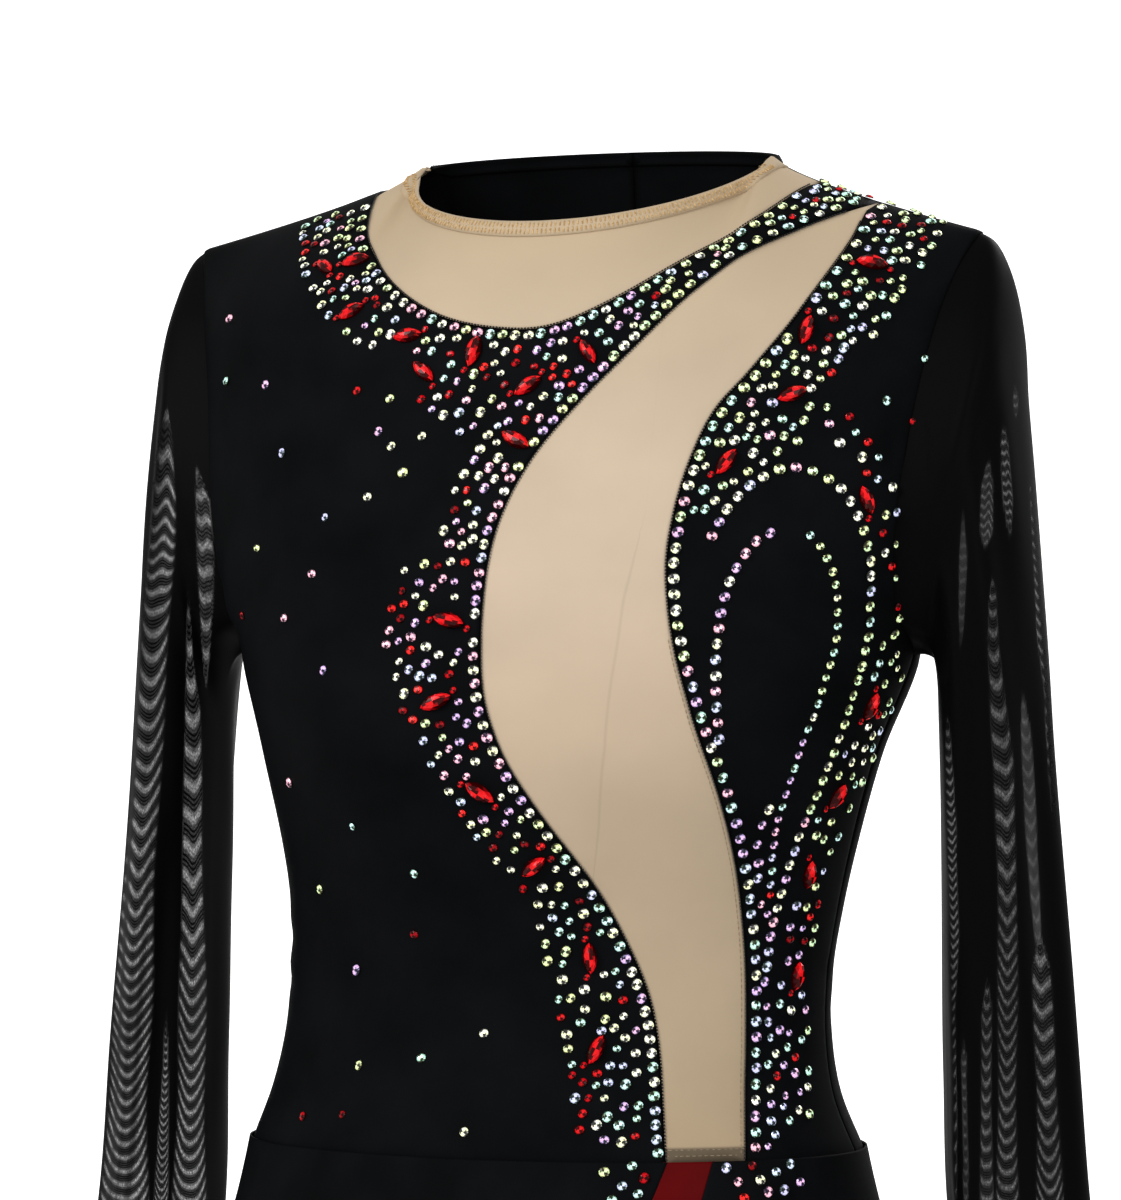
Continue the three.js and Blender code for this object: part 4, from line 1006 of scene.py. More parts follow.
def set_camera():
    camera = bpy.data.cameras.new("camera")
    camera.lens = 163.04
    camera.sensor_width = 36
    camera.sensor_fit = "AUTO"
    camera.clip_end = 50
    made = link("camera", camera)
    made.location = Vector(EYE)
    made.rotation_euler = Vector(-TOWARDS).to_track_quat("-Z", "Y").to_euler()
    bpy.context.scene.camera = made


def add_light(name, place, size, power):
    light = bpy.data.lights.new(name, "AREA")
    light.shape = "DISK"
    light.size = size
    light.energy = power
    made = link(name, light)
    made.location = place
    made.rotation_euler = (Vector((0, 0, -0.25)) - Vector(place)).to_track_quat("-Z", "Y").to_euler()
    made.visible_camera = False


def stage_plane(name, middle, across, up, material):
    mesh = bpy.data.meshes.new(name)
    corners = [middle - across - up, middle + across - up, middle + across + up, middle - across + up]
    mesh.from_pydata(corners, [], [(0, 1, 2, 3)])
    mesh.materials.append(material)
    link(name, mesh)


def set_stage():
    scene = bpy.context.scene
    scene.view_settings.view_transform = "Standard"
    scene.world = bpy.data.worlds.new("studio")
    scene.world.use_nodes = True
    tree = scene.world.node_tree
    set_inputs(tree, tree.nodes["Background"], {"Color": (1, 1, 1, 1), "Strength": 0.58})
    paper = new_material("white paper", Base_Color=linear("#F4F4F4"), Roughness=0.9,
                         Emission_Color=(1, 1, 1, 1), Emission_Strength=1.0)[0]
    stage_plane("backdrop", Vector(TARGET - TOWARDS * 6.0), Vector(RIGHT) * 2, Vector((0, 0, 2)), paper)
    floor, tree, shader = new_material("pale floor", Roughness=0.85)
    grain = add_node(tree, "ShaderNodeTexNoise", {"Scale": 60.0}).outputs["Fac"]
    set_inputs(tree, shader, {"Base Color": colours(tree, grain, [(0.3, "#DEDEDC"), (0.7, "#E6E6E4")])})
    stage_plane("floor", Vector((0, 0, -1.35)), Vector((8, 0, 0)), Vector((0, 8, 0)), floor)
    add_light("key", (-1.3, -2.3, 1.2), 1.3, 40)
    add_light("fill", (2.0, -1.9, 0.5), 1.6, 18)
    add_light("rim", (0.8, 2.2, 1.3), 1.2, 26)


set_camera()
set_stage()

# The second value is the painted seam shade, how dark the lycra is painted at a panel edge
LYCRA = black_lycra("black stretch lycra", 0.45)
SKIRT_LYCRA = black_lycra("black skirt lycra", 1.0)  # no sewn panel edge to darken
NUDE = nude_stretch_mesh()
MESH = sheer_black_mesh()
RED = red_lycra()

# Edge lines of the front panels on the body, from the table rows seen from the front
INSERT_RIGHT_LINE = smooth_line(INSERT_RIGHT_EDGE)
INSERT_LEFT_LINE = smooth_line(INSERT_LEFT_EDGE)
YOKE_LINE = smooth_line(YOKE_EDGE)
INSERT_RIGHT = on_front(INSERT_RIGHT_LINE)
INSERT_LEFT = on_front(INSERT_LEFT_LINE)
for line in (INSERT_RIGHT, INSERT_LEFT):
    line[-1, 1] = 0
    line[0] = (INSERT_TIP, TOP)
BINDING_END = 0.506  # where the neck strips end on the shoulder seams


def below_neck(turn, share=1.0):
    """A line in mm across and high, a share of the binding's width below the front neck edge."""
    width = BINDING_WIDTH * share
    return np.stack([(NECK_HALF_WIDTH + width) * np.sin(turn), (NECK_FRONT[1] - width) * np.cos(turn)], -1)


def back_binding_line():
    """The line on the back one binding width below the neck edge."""
    ups = np.linspace(TOP, 9, 121)
    places = []
    for a in np.linspace(-0.462, 0.462, 61):
        line = bodice(1, np.full(121, a), ups)
        run = np.concatenate([[0], np.cumsum(np.linalg.norm(np.diff(line, axis=0), axis=1))])
        places.append((a, np.interp(BINDING_WIDTH, run, ups)))
    return np.array(places)


def ends(line, low, high):
    """A line with its two ends run out to the shoulder seam."""
    return np.concatenate([[[low, TOP]], line, [[high, TOP]]])


def tucked(line):
    """The same line a little nearer the neck: the panels run 2 mm under the folded binding."""
    place = line.copy()
    place[:, 1] = TOP - (TOP - line[:, 1]) * 0.72
    place[[0, -1], 0] *= 0.985
    return place


def outline(*lines):
    """A closed outline of lines, where a list gives the corners of a stretch along the seams."""
    return np.concatenate([seam_places(line) if isinstance(line, list) else line for line in lines])


BINDING_FRONT = ends(on_front(below_neck(np.radians(np.linspace(-84, 84, 61)))), -BINDING_END, BINDING_END)
BINDING_BACK = ends(back_binding_line(), -BINDING_END, BINDING_END)
YOKE = ends(on_front(YOKE_LINE), *YOKE_ENDS)
TUCKED_FRONT = tucked(BINDING_FRONT)
TUCKED_BACK = tucked(BINDING_BACK)
half = len(BINDING_BACK) // 2
OTHER_HALF = np.array([-1, 1])
BACK_HALF = outline([(0, 0), (-1, 0), (-1, TOP), (-BINDING_END, TOP)], TUCKED_BACK[:half + 1],
                    [(0, TUCKED_BACK[half, 1]), (0, 0)])
BACK_STRIP = outline(BINDING_BACK[:half + 1], [(0, TOP), (-BINDING_END, TOP)])
BRIEFS = outline([(-1, 0), (1, 0), (1, CROTCH_ROW), (-1, CROTCH_ROW), (-1, 0)])


def crowned(off_edge):
    """The folded binding stands up, rounded at both edges."""
    return 0.5 * (1 - np.exp(-(off_edge / 1.1) ** 2)) + 0.1


# The cut panels: surface, outline, material, then what differs from a plain lycra panel
SUNK = {"sink": 0.5, "groove": 0.2}
FOLDED = {"spacing": 2.2, "groove": 0, "raised": crowned, "thickness": 1.6}
PANELS = {
    "front_right": ("front", outline([(-1, 0), (INSERT_RIGHT[-1, 0], 0)], INSERT_RIGHT[::-1],
                                     [(INSERT_TIP, TOP), (YOKE_ENDS[1], TOP)], YOKE[::-1],
                                     [(YOKE_ENDS[0], TOP), (-1, TOP), (-1, 0)]), LYCRA, {}),
    "front_left": ("front", outline([(INSERT_LEFT[-1, 0], 0), (1, 0), (1, TOP), (INSERT_TIP, TOP)],
                                    INSERT_LEFT), LYCRA, {}),
    "front_insert": ("front", outline(INSERT_RIGHT, INSERT_LEFT[::-1][:-1]), NUDE, SUNK),
    "front_yoke": ("front", outline(YOKE, [(YOKE_ENDS[1], TOP), (BINDING_END, TOP)], TUCKED_FRONT[::-1],
                                    [(-BINDING_END, TOP), (YOKE_ENDS[0], TOP)]), NUDE, SUNK),
    "neck_binding_front": ("front", outline(BINDING_FRONT, [(BINDING_END, TOP), (-BINDING_END, TOP)]),
                           NUDE, FOLDED),
    "back_right": ("back", BACK_HALF, LYCRA, {}),
    "back_left": ("back", BACK_HALF * OTHER_HALF, LYCRA, {}),
    "neck_binding_back_right": ("back", BACK_STRIP, LYCRA, FOLDED),
    "neck_binding_back_left": ("back", BACK_STRIP * OTHER_HALF, LYCRA, FOLDED),
    "briefs_front": ("briefs_front", BRIEFS, LYCRA, {}),
    "briefs_back": ("briefs_back", BRIEFS, LYCRA, {}),
}
PIECES = {name: cut_panel(name + "_cloth", surface, edge, material, **options)
          for name, (surface, edge, material, options) in PANELS.items()}
PIECES["sleeve_right"] = sleeve_piece("sleeve_right_cloth", -1, RIGHT_SLEEVE, MESH)
PIECES["sleeve_left"] = sleeve_piece("sleeve_left_cloth", 1, LEFT_SLEEVE, MESH)
PIECES["skirt"] = skirt_piece("skirt_cloth", GORE_LEFT, GORE_RIGHT, 360, 420, SKIRT_LYCRA)
PIECES["skirt_gore"] = skirt_piece("skirt_gore_cloth", GORE_RIGHT, GORE_LEFT, 0, 40, RED, 0.9)


# Stones and stitches
def vector_node(tree, operation, first, second=None, **more):
    inputs = {0: first, **more} if second is None else {0: first, 1: second}
    return add_node(tree, "ShaderNodeVectorMath", inputs, operation=operation).outputs["Vector"]


def named_value(tree, name, kind="FLOAT_VECTOR"):
    made = add_node(tree, "GeometryNodeInputNamedAttribute", {"Name": name}, data_type=kind)
    return made.outputs["Attribute"]


def sewn_tree(name, follows_path):
    """A tree that sets copies of a small shape at points, or evenly along paths, facing off the cloth."""
    tree = bpy.data.node_groups.new(name, "GeometryNodeTree")
    face = tree.interface
    face.new_socket(name="Geometry", in_out="OUTPUT", socket_type="NodeSocketGeometry")
    for label, kind in (("Geometry", "Geometry"), ("Shape", "Object"), ("Finish", "Material"),
                        ("Spacing", "Float"), ("Length", "Float"), ("Width", "Float"), ("Wobble", "Float"),
                        ("Across", "Float"), ("Seed", "Int")):
        face.new_socket(name=label, in_out="INPUT", socket_type="NodeSocket" + kind)
    given = add_node(tree, "NodeGroupInput").outputs
    points = given["Geometry"]
    facing = named_value(tree, "facing")
    if follows_path:
        path = add_node(tree, "GeometryNodeMeshToCurve", {"Mesh": points}).outputs["Curve"]
        points = add_node(tree, "GeometryNodeResampleCurve", {"Curve": path, "Length": given["Spacing"]},
                          mode="LENGTH").outputs["Curve"]
        ahead = add_node(tree, "GeometryNodeInputTangent").outputs["Tangent"]
        lie = add_node(tree, "ShaderNodeMix", {0: given["Across"], 4: ahead, 5: vector_node(
            tree, "CROSS_PRODUCT", facing, ahead)}, data_type="VECTOR").outputs[1]
    else:
        lie = named_value(tree, "lie")
    chance = add_node(tree, "FunctionNodeRandomValue", {
        "Min": vector_node(tree, "SCALE", (-1, -1, -1), Scale=given["Wobble"]),
        "Max": vector_node(tree, "SCALE", (1, 1, 1), Scale=given["Wobble"]), "Seed": given["Seed"]},
        data_type="FLOAT_VECTOR").outputs["Value"]
    leaning = vector_node(tree, "ADD", facing, chance)
    stand = add_node(tree, "FunctionNodeAlignRotationToVector", {"Vector": leaning}, axis="Z").outputs["Rotation"]
    turn = add_node(tree, "FunctionNodeAlignRotationToVector", {"Rotation": stand, "Vector": lie}, axis="X",
                    pivot_axis="Z").outputs["Rotation"]
    across = given["Width"]
    span = add_node(tree, "ShaderNodeCombineXYZ", {"X": given["Length"], "Y": across, "Z": across})
    scale = vector_node(tree, "SCALE", span.outputs["Vector"], Scale=named_value(tree, "size", "FLOAT"))
    shape = add_node(tree, "GeometryNodeObjectInfo", {"Object": given["Shape"], "As Instance": True})
    copies = add_node(tree, "GeometryNodeInstanceOnPoints", {
        "Points": points, "Instance": shape.outputs["Geometry"], "Rotation": turn, "Scale": scale})
    real = add_node(tree, "GeometryNodeRealizeInstances", {"Geometry": copies.outputs["Instances"]})
    finish = add_node(tree, "GeometryNodeSetMaterial", {
        "Geometry": real.outputs["Geometry"], "Material": given["Finish"]})
    add_node(tree, "NodeGroupOutput", {"Geometry": finish.outputs["Geometry"]})
    return tree


def sewn_piece(name, tree, points, facing, sizes, edges=(), lie=None, tint=None, **inputs):
    """Runs a tree on points in mm and keeps the result as one plain mesh."""
    mesh = bpy.data.meshes.new(name)
    mesh.from_pydata((np.asarray(points) / 1000).tolist(), list(edges), [])
    for key, values, kind, field in (("facing", facing, "FLOAT_VECTOR", "vector"),
                                     ("lie", lie, "FLOAT_VECTOR", "vector"),
                                     ("size", sizes, "FLOAT", "value"), ("tint", tint, "FLOAT", "value")):
        if values is not None:
            data = mesh.attributes.new(key, kind, "POINT").data
            data.foreach_set(field, np.asarray(values, np.float32).reshape(-1))
    carrier = link(name + "_places", mesh)
    modifier = carrier.modifiers.new("sewn", "NODES")
    modifier.node_group = tree
    for socket in tree.interface.items_tree:
        if socket.in_out == "INPUT" and socket.name != "Geometry":
            modifier[socket.identifier] = inputs.get(socket.name, PLAIN_SEWING.get(socket.name))
    depsgraph = bpy.context.evaluated_depsgraph_get()
    plain = bpy.data.meshes.new_from_object(carrier.evaluated_get(depsgraph), preserve_all_data_layers=True,
                                            depsgraph=depsgraph)
    plain.name = name
    bpy.data.objects.remove(carrier)
    return link(name, plain)


PLAIN_SEWING = {"Spacing": 0.0025, "Length": 1.0, "Width": 1.0, "Wobble": 0.0, "Across": 0.0, "Seed": 1}


def shape_object(name, points, faces, facets=None):
    mesh = bpy.data.meshes.new(name)
    mesh.from_pydata([tuple(p) for p in points], [], faces)
    # The painted glint of each face, for the stone finishes
    if facets is not None:
        data = mesh.attributes.new("facet_glint", "FLOAT", "FACE").data
        data.foreach_set("value", np.asarray(facets, np.float32))
    return link(name, mesh)


# Painted highlight and shade of the facets round the stone: two bright halves with a dark line between, standing
# in for reflected lamps
TABLE_FACET_GLINTS = [1.0, 1.0, 0.8, 0.22, 0.05, 0.3, 0.95, 1.0, 0.85, 0.3, 0.05, 0.22]
CROWN_FACET_GLINTS = [1.0, 0.92, 0.6, 0.12, 0.05, 0.4, 0.9, 1.0, 0.7, 0.18, 0.1, 0.55]
CORNERS = 12  # of a stone's outline


def cut_stone(name, outline_points):
    """A flat-backed stone: a low rim, two rows of facets and a table half as wide as the rim."""
    rim = np.array(outline_points, float)
    middle = (rim + np.roll(rim, -1, axis=0)) / 2
    rings = [(rim, 0.0), (rim, 0.14), (middle * 0.84, 0.42), (rim * 0.5, 0.6)]
    points = [(x, y, z) for ring, z in rings for x, y in ring] + [(0.0, 0.0, 0.62)]
    faces = [tuple(reversed(range(CORNERS)))]
    facets = [0.3]
    low, high, top, peak = (CORNERS * k for k in range(1, 5))
    for i in range(CORNERS):
        j = (i + 1) % CORNERS
        faces += [(i, j, low + j, low + i), (low + i, low + j, high + i), (low + j, high + j, high + i),
                  (high + i, high + j, top + j), (high + i, top + j, top + i), (top + i, top + j, peak)]
        facets += [0.08, 0.75 * CROWN_FACET_GLINTS[i], CROWN_FACET_GLINTS[j], CROWN_FACET_GLINTS[i], 0.8 * CROWN_FACET_GLINTS[i - 1],
                   TABLE_FACET_GLINTS[i]]
    return shape_object(name, points, faces, facets)


def stitch_shape():
    """A short rounded thread, six sided, 1 long and 1 wide, lying along X."""
    rings = [(-0.5, 0.12), (-0.36, 0.42), (0.0, 0.5), (0.36, 0.42), (0.5, 0.12)]
    points = [(x, radius * math.cos(k * math.pi / 3), radius * math.sin(k * math.pi / 3))
              for x, radius in rings for k in range(6)]
    faces = []
    for r in range(4):
        for k in range(6):
            a, b = r * 6 + k, r * 6 + (k + 1) % 6
            faces.append((a + 6, b + 6, b, a))
    faces.append(tuple(reversed(range(6))))
    faces.append(tuple(range(24, 30)))
    return shape_object("stitch shape", points, faces)


class StoneSetter:
    """Keeps the stones set so far, so that none lies on another."""

    def __init__(self):
        self.points = np.zeros((0, 3))
        self.facing = np.zeros((0, 3))
        self.lie = np.zeros((0, 3))
        self.sizes = np.zeros(0)
        self.kinds = []
        self.tints = np.zeros(0)

    def has_room(self, point, size, gap):
        away = np.linalg.norm(self.points - point, axis=1)
        return bool((away > (self.sizes + size) / 2 + gap).all())

    def add(self, point, facing, degrees, size, kind, tint):
        self.points = np.vstack([self.points, point])
        self.facing = np.vstack([self.facing, facing])
        self.lie = np.vstack([self.lie, sideways(facing, degrees)])
        self.sizes = np.append(self.sizes, size)
        self.kinds.append(kind)
        self.tints = np.append(self.tints, tint)


chance = np.random.default_rng(20)
setter = StoneSetter()

# Where each tint is common: columns from and to, rows from and to, then tints and their weights.
# Yellow-green near the shoulders and the wearer's left side, violet down the middle, green-white low down.
TINT_ZONES = [
    (640, 1121, 0, 520, [(0.02, 26), (0.22, 40), (0.42, 22), (0.6, 8), (0.95, 4)]),
    (0, 1121, 0, 400, [(0.02, 30), (0.22, 28), (0.42, 16), (0.6, 12), (0.82, 10), (0.97, 4)]),
    (805, 1121, 520, 1200, [(0.02, 22), (0.22, 48), (0.42, 22), (0.6, 8)]),
    (690, 805, 500, 760, [(0.02, 16), (0.42, 10), (0.6, 22), (0.8, 34), (0.96, 18)]),
    (0, 620, 400, 820, [(0.02, 34), (0.2, 8), (0.6, 10), (0.8, 28), (0.96, 20)]),
    (735, 805, 760, 1200, [(0.02, 14), (0.42, 14), (0.6, 30), (0.8, 34), (0.95, 8)]),
    (0, 680, 820, 1200, [(0.02, 32), (0.2, 14), (0.42, 36), (0.58, 12), (0.8, 6)]),
    (0, 1121, 0, 1200, [(0.02, 30), (0.22, 12), (0.42, 14), (0.6, 12), (0.8, 20), (0.96, 12)]),
]


def pick_tint(column, row):
    zone = TINT_ZONES[-1]
    for found in TINT_ZONES[::-1]:
        if found[0] <= column <= found[1] and found[2] <= row <= found[3]:
            zone = found
    tints, weights = np.array(zone[4]).T
    return float(chance.choice(tints, p=weights / weights.sum())) + chance.uniform(-0.04, 0.04)


def any_turn():
    return chance.uniform(-40, 40)


def spots(places):
    """Points on the front and the outward directions there."""
    return on_cloth("front", places, 0)


def sideways(facing, degrees):
    """A direction in the cloth at an angle to the level line."""
    level = np.cross(np.array([0, 0, 1.0]), facing)
    level /= max(np.linalg.norm(level), 1e-9)
    rise = np.cross(facing, level)
    turn = math.radians(degrees)
    return level * math.cos(turn) + rise * math.sin(turn)


def border_row(line, off, size, pitch, jitter=0.25):
    """A row of stones along a line seen from the front, moved off it onto the black."""
    point, facing = spots(on_front(smooth_line(beside(line, off), pitch)))
    seen = view_place(point)
    for k in range(1, len(point) - 1):
        wide = size * (1 + chance.uniform(-0.05, 0.05))
        spot = point[k] + chance.uniform(-jitter, jitter, 3)
        if setter.has_room(spot, wide, -0.2):
            setter.add(spot, facing[k], any_turn(), wide, "clear", pick_tint(*seen[k]))


def scatter(zone, count, gap, red_share):
    """Stones scattered over a zone given by columns and rows of the view."""
    zone = np.array(zone, float)
    tries = chance.uniform(zone.min(0), zone.max(0), (count * 90, 2))
    tries = tries[inside_outline(tries, zone)][:count * 34]
    point, facing = spots(on_view(tries))
    done = 0
    for k in range(len(tries)):
        if done >= count:
            break
        wide = float(chance.choice((4.9, 4.3, 3.6), p=(0.3, 0.45, 0.25)))
        red = chance.uniform() < red_share
        if red:
            wide = min(wide, 4.1)
        if setter.has_room(point[k], wide, gap * chance.uniform(0.6, 1.6)) and on_black(point[k], wide):
            setter.add(point[k], facing[k], any_turn(), wide, "red" if red else "clear", pick_tint(*tries[k]))
            done += 1


def line_gap(line, point):
    """The distance of a front-view point from a line."""
    p, q = line[:-1], line[1:]
    d = q - p
    t = np.clip(((point - p) * d).sum(1) / np.maximum((d * d).sum(1), 1e-9), 0, 1)
    return np.linalg.norm(p + t[:, None] * d - point, axis=1).min()


SEAM_LINES = (INSERT_RIGHT_LINE, INSERT_LEFT_LINE, YOKE_LINE)
NUDE_SHAPES = [np.concatenate([INSERT_RIGHT_LINE, INSERT_LEFT_LINE[::-1]]),
               np.concatenate([YOKE_LINE, [[120, 30], [-115, 30]]])]


def on_black(point, wide):
    spot = np.array([[point[0], point[2]]])
    if any(inside_outline(spot, shape)[0] for shape in NUDE_SHAPES):
        return False
    return all(line_gap(line, spot[0]) > wide / 2 + 0.4 for line in SEAM_LINES)


# Red pointed-oval stones: column, row, lean in degrees, length in mm
RED_OVALS = [
    (326, 268, 148, 13), (356, 262, 24, 13), (352, 312, 34, 13), (408, 336, 8, 14), (424, 372, 140, 14),
    (474, 352, 80, 15), (528, 386, 36, 14), (588, 352, 122, 13), (516, 440, 152, 15), (449, 620, 168, 15),
    (436, 702, 22, 15), (480, 792, 146, 15), (534, 866, 38, 14), (590, 958, 92, 14), (596, 1050, 64, 14),
    (872, 264, 166, 14), (806, 330, 70, 14), (792, 394, 20, 14), (726, 462, 52, 14), (866, 500, 110, 13),
    (870, 706, 74, 13), (836, 796, 58, 13), (808, 874, 92, 13), (796, 976, 78, 13),
]
# The two long chains: rows of stones along smooth lines, in mm across and high seen from the front
OUTER_CHAIN = [(92, -180), (104, -157), (124, -144), (143, -152), (153, -176), (152, -206), (144, -240),
               (132, -275), (118, -310), (107, -345), (102, -380), (101, -420), (102, -436)]
INNER_CHAIN = [(105, -330), (100, -290), (97, -248), (97, -215), (103, -190), (116, -173), (131, -172),
               (140, -187), (141, -210), (134, -240), (123, -272), (113, -302), (107, -332)]
# Zones of scattered stones: corners as column and row, count, gap in mm, share of red
SCATTER_ZONES = [
    ([(362, 208), (380, 240), (420, 296), (470, 330), (470, 362), (420, 352), (360, 346), (325, 320),
      (300, 268), (300, 222)], 62, 1.2, 0.14),
    ([(470, 330), (530, 332), (600, 305), (640, 330), (600, 380), (560, 404), (500, 384), (450, 366)],
     56, 1.2, 0.16),
    ([(600, 305), (660, 268), (720, 228), (780, 192), (820, 176), (878, 190), (800, 240), (700, 282),
      (640, 330)], 74, 0.7, 0.1),
    ([(490, 425), (556, 410), (525, 470), (508, 520), (492, 560), (440, 540), (455, 470)], 40, 1.1, 0.14),
    ([(430, 350), (560, 390), (520, 430), (470, 440), (420, 400)], 30, 2.0, 0.12),
    ([(400, 560), (484, 560), (474, 640), (480, 720), (500, 770), (430, 765), (405, 720), (385, 640)],
     56, 1.7, 0.18),
    ([(440, 775), (508, 772), (560, 840), (606, 900), (560, 930), (520, 890), (470, 830)], 34, 1.8, 0.12),
    ([(530, 905), (606, 895), (640, 960), (656, 1040), (662, 1145), (580, 1140), (570, 1060), (550, 970)],
     72, 1.5, 0.1),
    ([(880, 196), (950, 222), (906, 290), (870, 340), (800, 400), (776, 350), (822, 280)], 70, 1.0, 0.12),
    ([(772, 350), (820, 390), (800, 440), (740, 478), (700, 520), (678, 520), (690, 470), (730, 400)],
     64, 1.0, 0.12),
    ([(826, 404), (866, 420), (900, 500), (906, 590), (880, 560), (862, 480), (832, 450)], 18, 2.6, 0.2),
    ([(884, 640), (906, 600), (900, 690), (860, 790), (822, 880), (806, 990), (810, 1120), (772, 1140),
      (776, 1000), (800, 860), (838, 760)], 74, 1.6, 0.12),
    ([(742, 870), (772, 800), (778, 1000), (774, 1150), (748, 1150), (744, 1000)], 34, 1.4, 0.06),
    ([(215, 300), (420, 380), (470, 430), (420, 520), (390, 620), (420, 760), (440, 860), (520, 960),
      (560, 1140), (270, 1140), (300, 900), (250, 700), (210, 480)], 26, 24, 0.18),
    ([(880, 300), (935, 260), (940, 420), (930, 560), (905, 560), (880, 420)], 7, 16, 0.1),
    ([(400, 350), (480, 385), (470, 440), (400, 480), (370, 420)], 9, 8, 0.2),
]
# Columns and rows of the few stones at the top of the skirt, on both sides of the gore
SKIRT_STONES = [(604, 1172), (622, 1186), (632, 1166), (644, 1178), (638, 1194), (612, 1200),
                (726, 1168), (738, 1182), (752, 1166), (760, 1180), (776, 1172), (790, 1164),
                (768, 1192), (744, 1198), (800, 1182), (784, 1190)]
RED_ON_SKIRT = (3, 8, 13)  # which of them are red


def set_skirt_stones():
    """Sets the skirt's stones where a line of sight from the camera meets the cloth."""
    cloth = BVHTree.FromObject(PIECES["skirt"], bpy.context.evaluated_depsgraph_get())
    for k, (column, row) in enumerate(SKIRT_STONES):
        aside = RIGHT * (column - MIDDLE_COLUMN) * VIEW_SCALE
        aloft = np.array([0, 0, (MIDDLE_ROW - row) * VIEW_SCALE])
        sight = aside + aloft - TOWARDS * VIEW_DISTANCE
        spot, facing, _, _ = cloth.ray_cast(Vector(EYE), Vector(sight).normalized())
        if spot is not None:
            facing = np.array(facing) * (1 if facing @ Vector(TOWARDS) > 0 else -1)
            setter.add(np.array(spot) * 1000, facing, any_turn(), 4.4 if k % 3 else 4.8,
                       "red" if k in RED_ON_SKIRT else "clear", pick_tint(column, row))


def set_all_stones():
    for column, row, lean, length in RED_OVALS:
        point, facing = (values[0] for values in spots(on_view([(column, row)])))
        if on_black(point, 6):
            setter.add(point, facing, lean, length * 0.8, "oval", length)
            for step, side in ((0.62, 1), (-0.62, -1)):
                at = point + sideways(facing, lean + 12 * side) * length * step
                if chance.uniform() < 0.6 and on_black(at, 3.2):
                    setter.add(at, facing, 20, 3.2, "red", 0.3)
    border_row(YOKE_LINE, -3.1, 4.7, 6.0)
    border_row(INSERT_RIGHT_LINE, -3.2, 4.9, 6.1)
    border_row(INSERT_LEFT_LINE, 3.2, 5.0, 6.8)
    border_row(smooth_line(OUTER_CHAIN), 0, 4.9, 6.6)
    inner = smooth_line(INNER_CHAIN)
    turn_over = len(inner) // 2
    border_row(inner[:turn_over], 0, 4.8, 6.8)
    border_row(inner[turn_over:], 0, 3.9, 6.0)
    for zone in SCATTER_ZONES:
        scatter(*zone)
    set_skirt_stones()


set_all_stones()
STONE_TREE = sewn_tree("stones set on cloth", False)
STITCH_TREE = sewn_tree("stitches along a seam", True)
ROUND_OUTLINE = [(math.cos(k * math.pi / 6), math.sin(k * math.pi / 6)) for k in range(CORNERS)]
OVAL_OUTLINE = [(1.0, 0.0), (0.82, 0.19), (0.5, 0.36), (0.0, 0.46), (-0.5, 0.36), (-0.82, 0.19),
                (-1.0, 0.0), (-0.82, -0.19), (-0.5, -0.36), (0.0, -0.46), (0.5, -0.36), (0.82, -0.19)]
round_stone = cut_stone("round stone", ROUND_OUTLINE)
oval_stone = cut_stone("pointed oval stone", OVAL_OUTLINE)
# Aurora-coated crystal: clear, yellow-green, mint, ice blue, violet and pink, by its coat and the painted glint
# of the facets
AURORA = foiled_glass("aurora coated crystal", [
    (0.0, "#FAFAF6"), (0.2, "#E8EE9E"), (0.42, "#B2E8CA"), (0.6, "#C8DCEE"), (0.8, "#BEA8E6"),
    (1.0, "#F2B4C4")], 0.03, 0.6)
# Siam red crystal: deep blood red with painted bright red flashes and glow
SIAM = foiled_glass("siam red crystal", [(0.0, "#5C0006"), (0.35, "#A8040E"), (1.0, "#F02824")], 0.12, 0.2)


def keep_stones(name, kind, shape, material, wobble, seed):
    """Makes one piece of all the stones of a kind. An oval stone keeps its length in place of a tint."""
    mine = np.array([k == kind for k in setter.kinds])
    tint, size = setter.tints[mine], setter.sizes[mine]
    if kind == "oval":
        tint, size = np.full(mine.sum(), 0.4), tint
    return sewn_piece(name, STONE_TREE, setter.points[mine] + setter.facing[mine] * 0.05, setter.facing[mine],
                      size / 2000, lie=setter.lie[mine], tint=tint, Shape=shape, Finish=material,
                      Wobble=wobble, Seed=seed)


TRIMS = [
    keep_stones("clear_stones", "clear", round_stone, AURORA, 0.12, 3),
    keep_stones("red_stones", "red", round_stone, SIAM, 0.12, 5),
    keep_stones("red_oval_stones", "oval", oval_stone, SIAM, 0.05, 7),
]
bpy.data.objects.remove(round_stone)
bpy.data.objects.remove(oval_stone)


# Stitches
def neck_row(share):
    """A row of stitches on the front binding, a share of its width from the neck edge."""
    return on_cloth("front", on_front(below_neck(np.radians(np.linspace(-81, 81, 90)), share)), 0.62)


def back_neck_row(share):
    places = BINDING_BACK[1:-1].copy()
    places[:, 1] = TOP - (TOP - places[:, 1]) * share
    return on_cloth("back", places, 0.62)


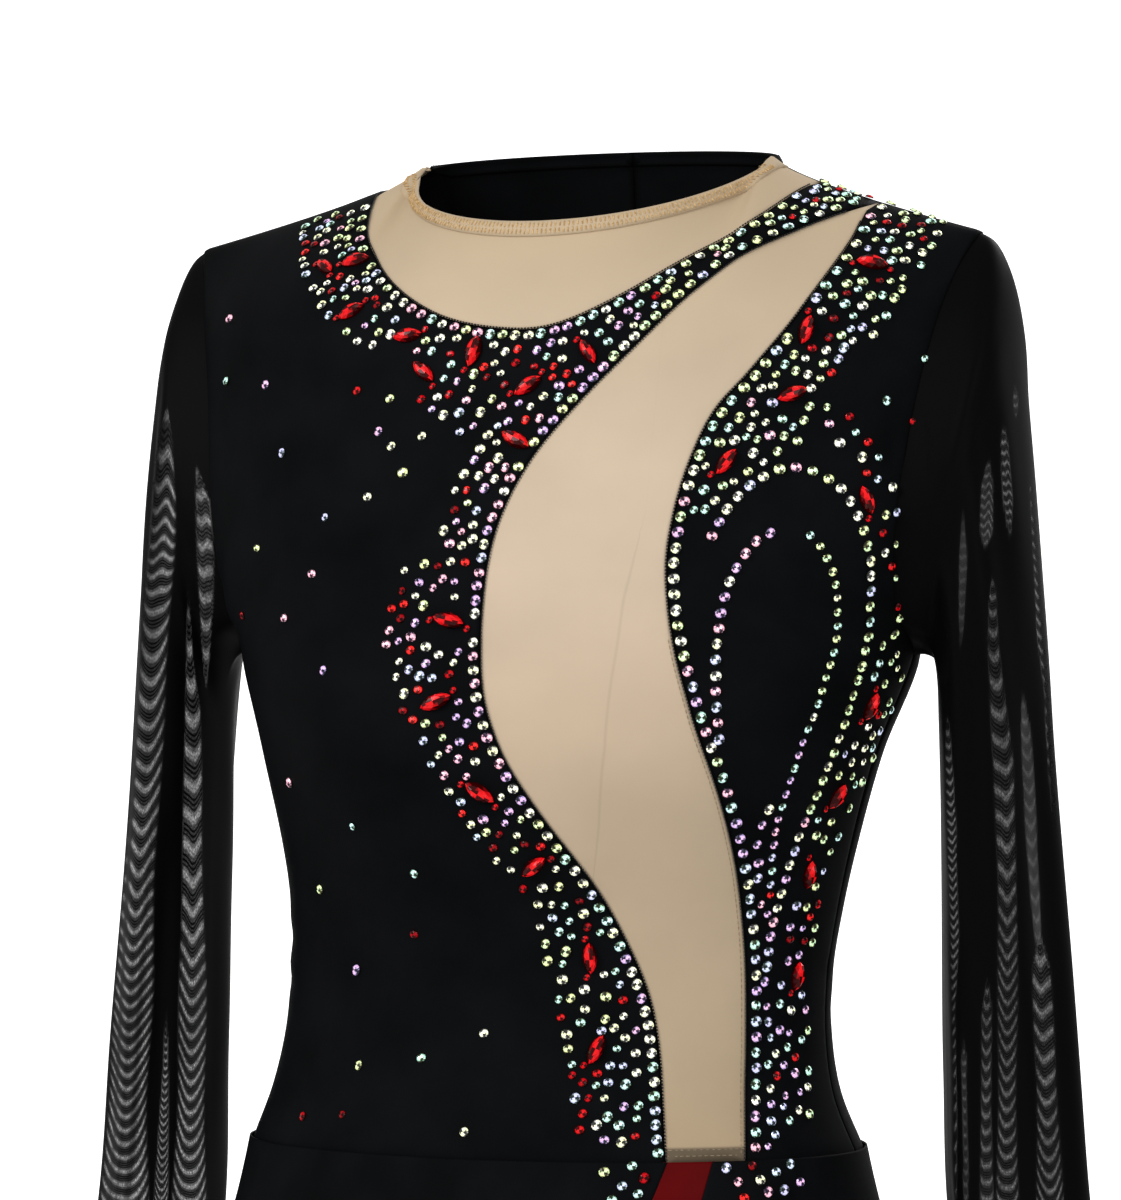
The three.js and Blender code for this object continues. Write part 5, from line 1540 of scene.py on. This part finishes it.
def front_row(line, off, raised):
    return on_cloth("front", on_front(beside(line, off)), raised)


stitch = stitch_shape()


def stitching(name, lines, material, spacing, length, width, wobble, seed, across=0.0):
    """Stitches along several lines, each given by its points and the outward directions there."""
    edges = []
    start = 0
    for point, facing in lines:
        edges += [(start + k, start + k + 1) for k in range(len(point) - 1)]
        start += len(point)
    points, facing = (np.concatenate(parts) for parts in zip(*lines))
    TRIMS.append(sewn_piece(name, STITCH_TREE, points, facing, np.full(start, 0.001), edges, Shape=stitch,
                            Finish=material, Spacing=spacing / 1000, Length=length, Width=width,
                            Wobble=wobble, Across=across, Seed=seed))


GOLD_THREAD = thread_finish("tan coverstitch thread", "#D6B684", "#A98654")
BLACK_THREAD = thread_finish("black overlock thread", "#1C1C1E", "#0A0A0B")
NUDE_THREAD = thread_finish("nude thread", "#A8967A", "#85745C")
HEM_LINE = np.stack([np.linspace(73.5, 101, 12), np.full(12, -441.0)], -1)
stitching("neck_stitches", [neck_row(0.72), neck_row(0.3)], GOLD_THREAD, 2.0, 2.6, 0.85, 0.12, 1, 0.96)
stitching("back_neck_stitches", [back_neck_row(0.72), back_neck_row(0.3)], BLACK_THREAD, 2.0, 2.6, 0.85,
          0.12, 2, 0.96)
stitching("insert_stitches", [front_row(HEM_LINE, 0, -0.3), front_row(HEM_LINE, -2.6, -0.3),
                              front_row(INSERT_LEFT_LINE[70:-2], -1.6, -0.3)],
          NUDE_THREAD, 2.6, 1.9, 0.45, 0.1, 3)
stitching("edge_stitches", [front_row(INSERT_RIGHT_LINE[3:-1], 0.2, -0.05),
                            front_row(INSERT_LEFT_LINE[3:-1], -0.2, -0.05), front_row(YOKE_LINE, 0.2, -0.05)],
          BLACK_THREAD, 1.5, 1.15, 0.7, 0.25, 4)
bpy.data.objects.remove(stitch)

# Every piece hangs on the root and its imported part of the same name is hidden; the trims hang on the root too
for name, piece in PIECES.items():
    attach(piece, "root")
    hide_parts(name)
for piece in TRIMS:
    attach(piece, "root")
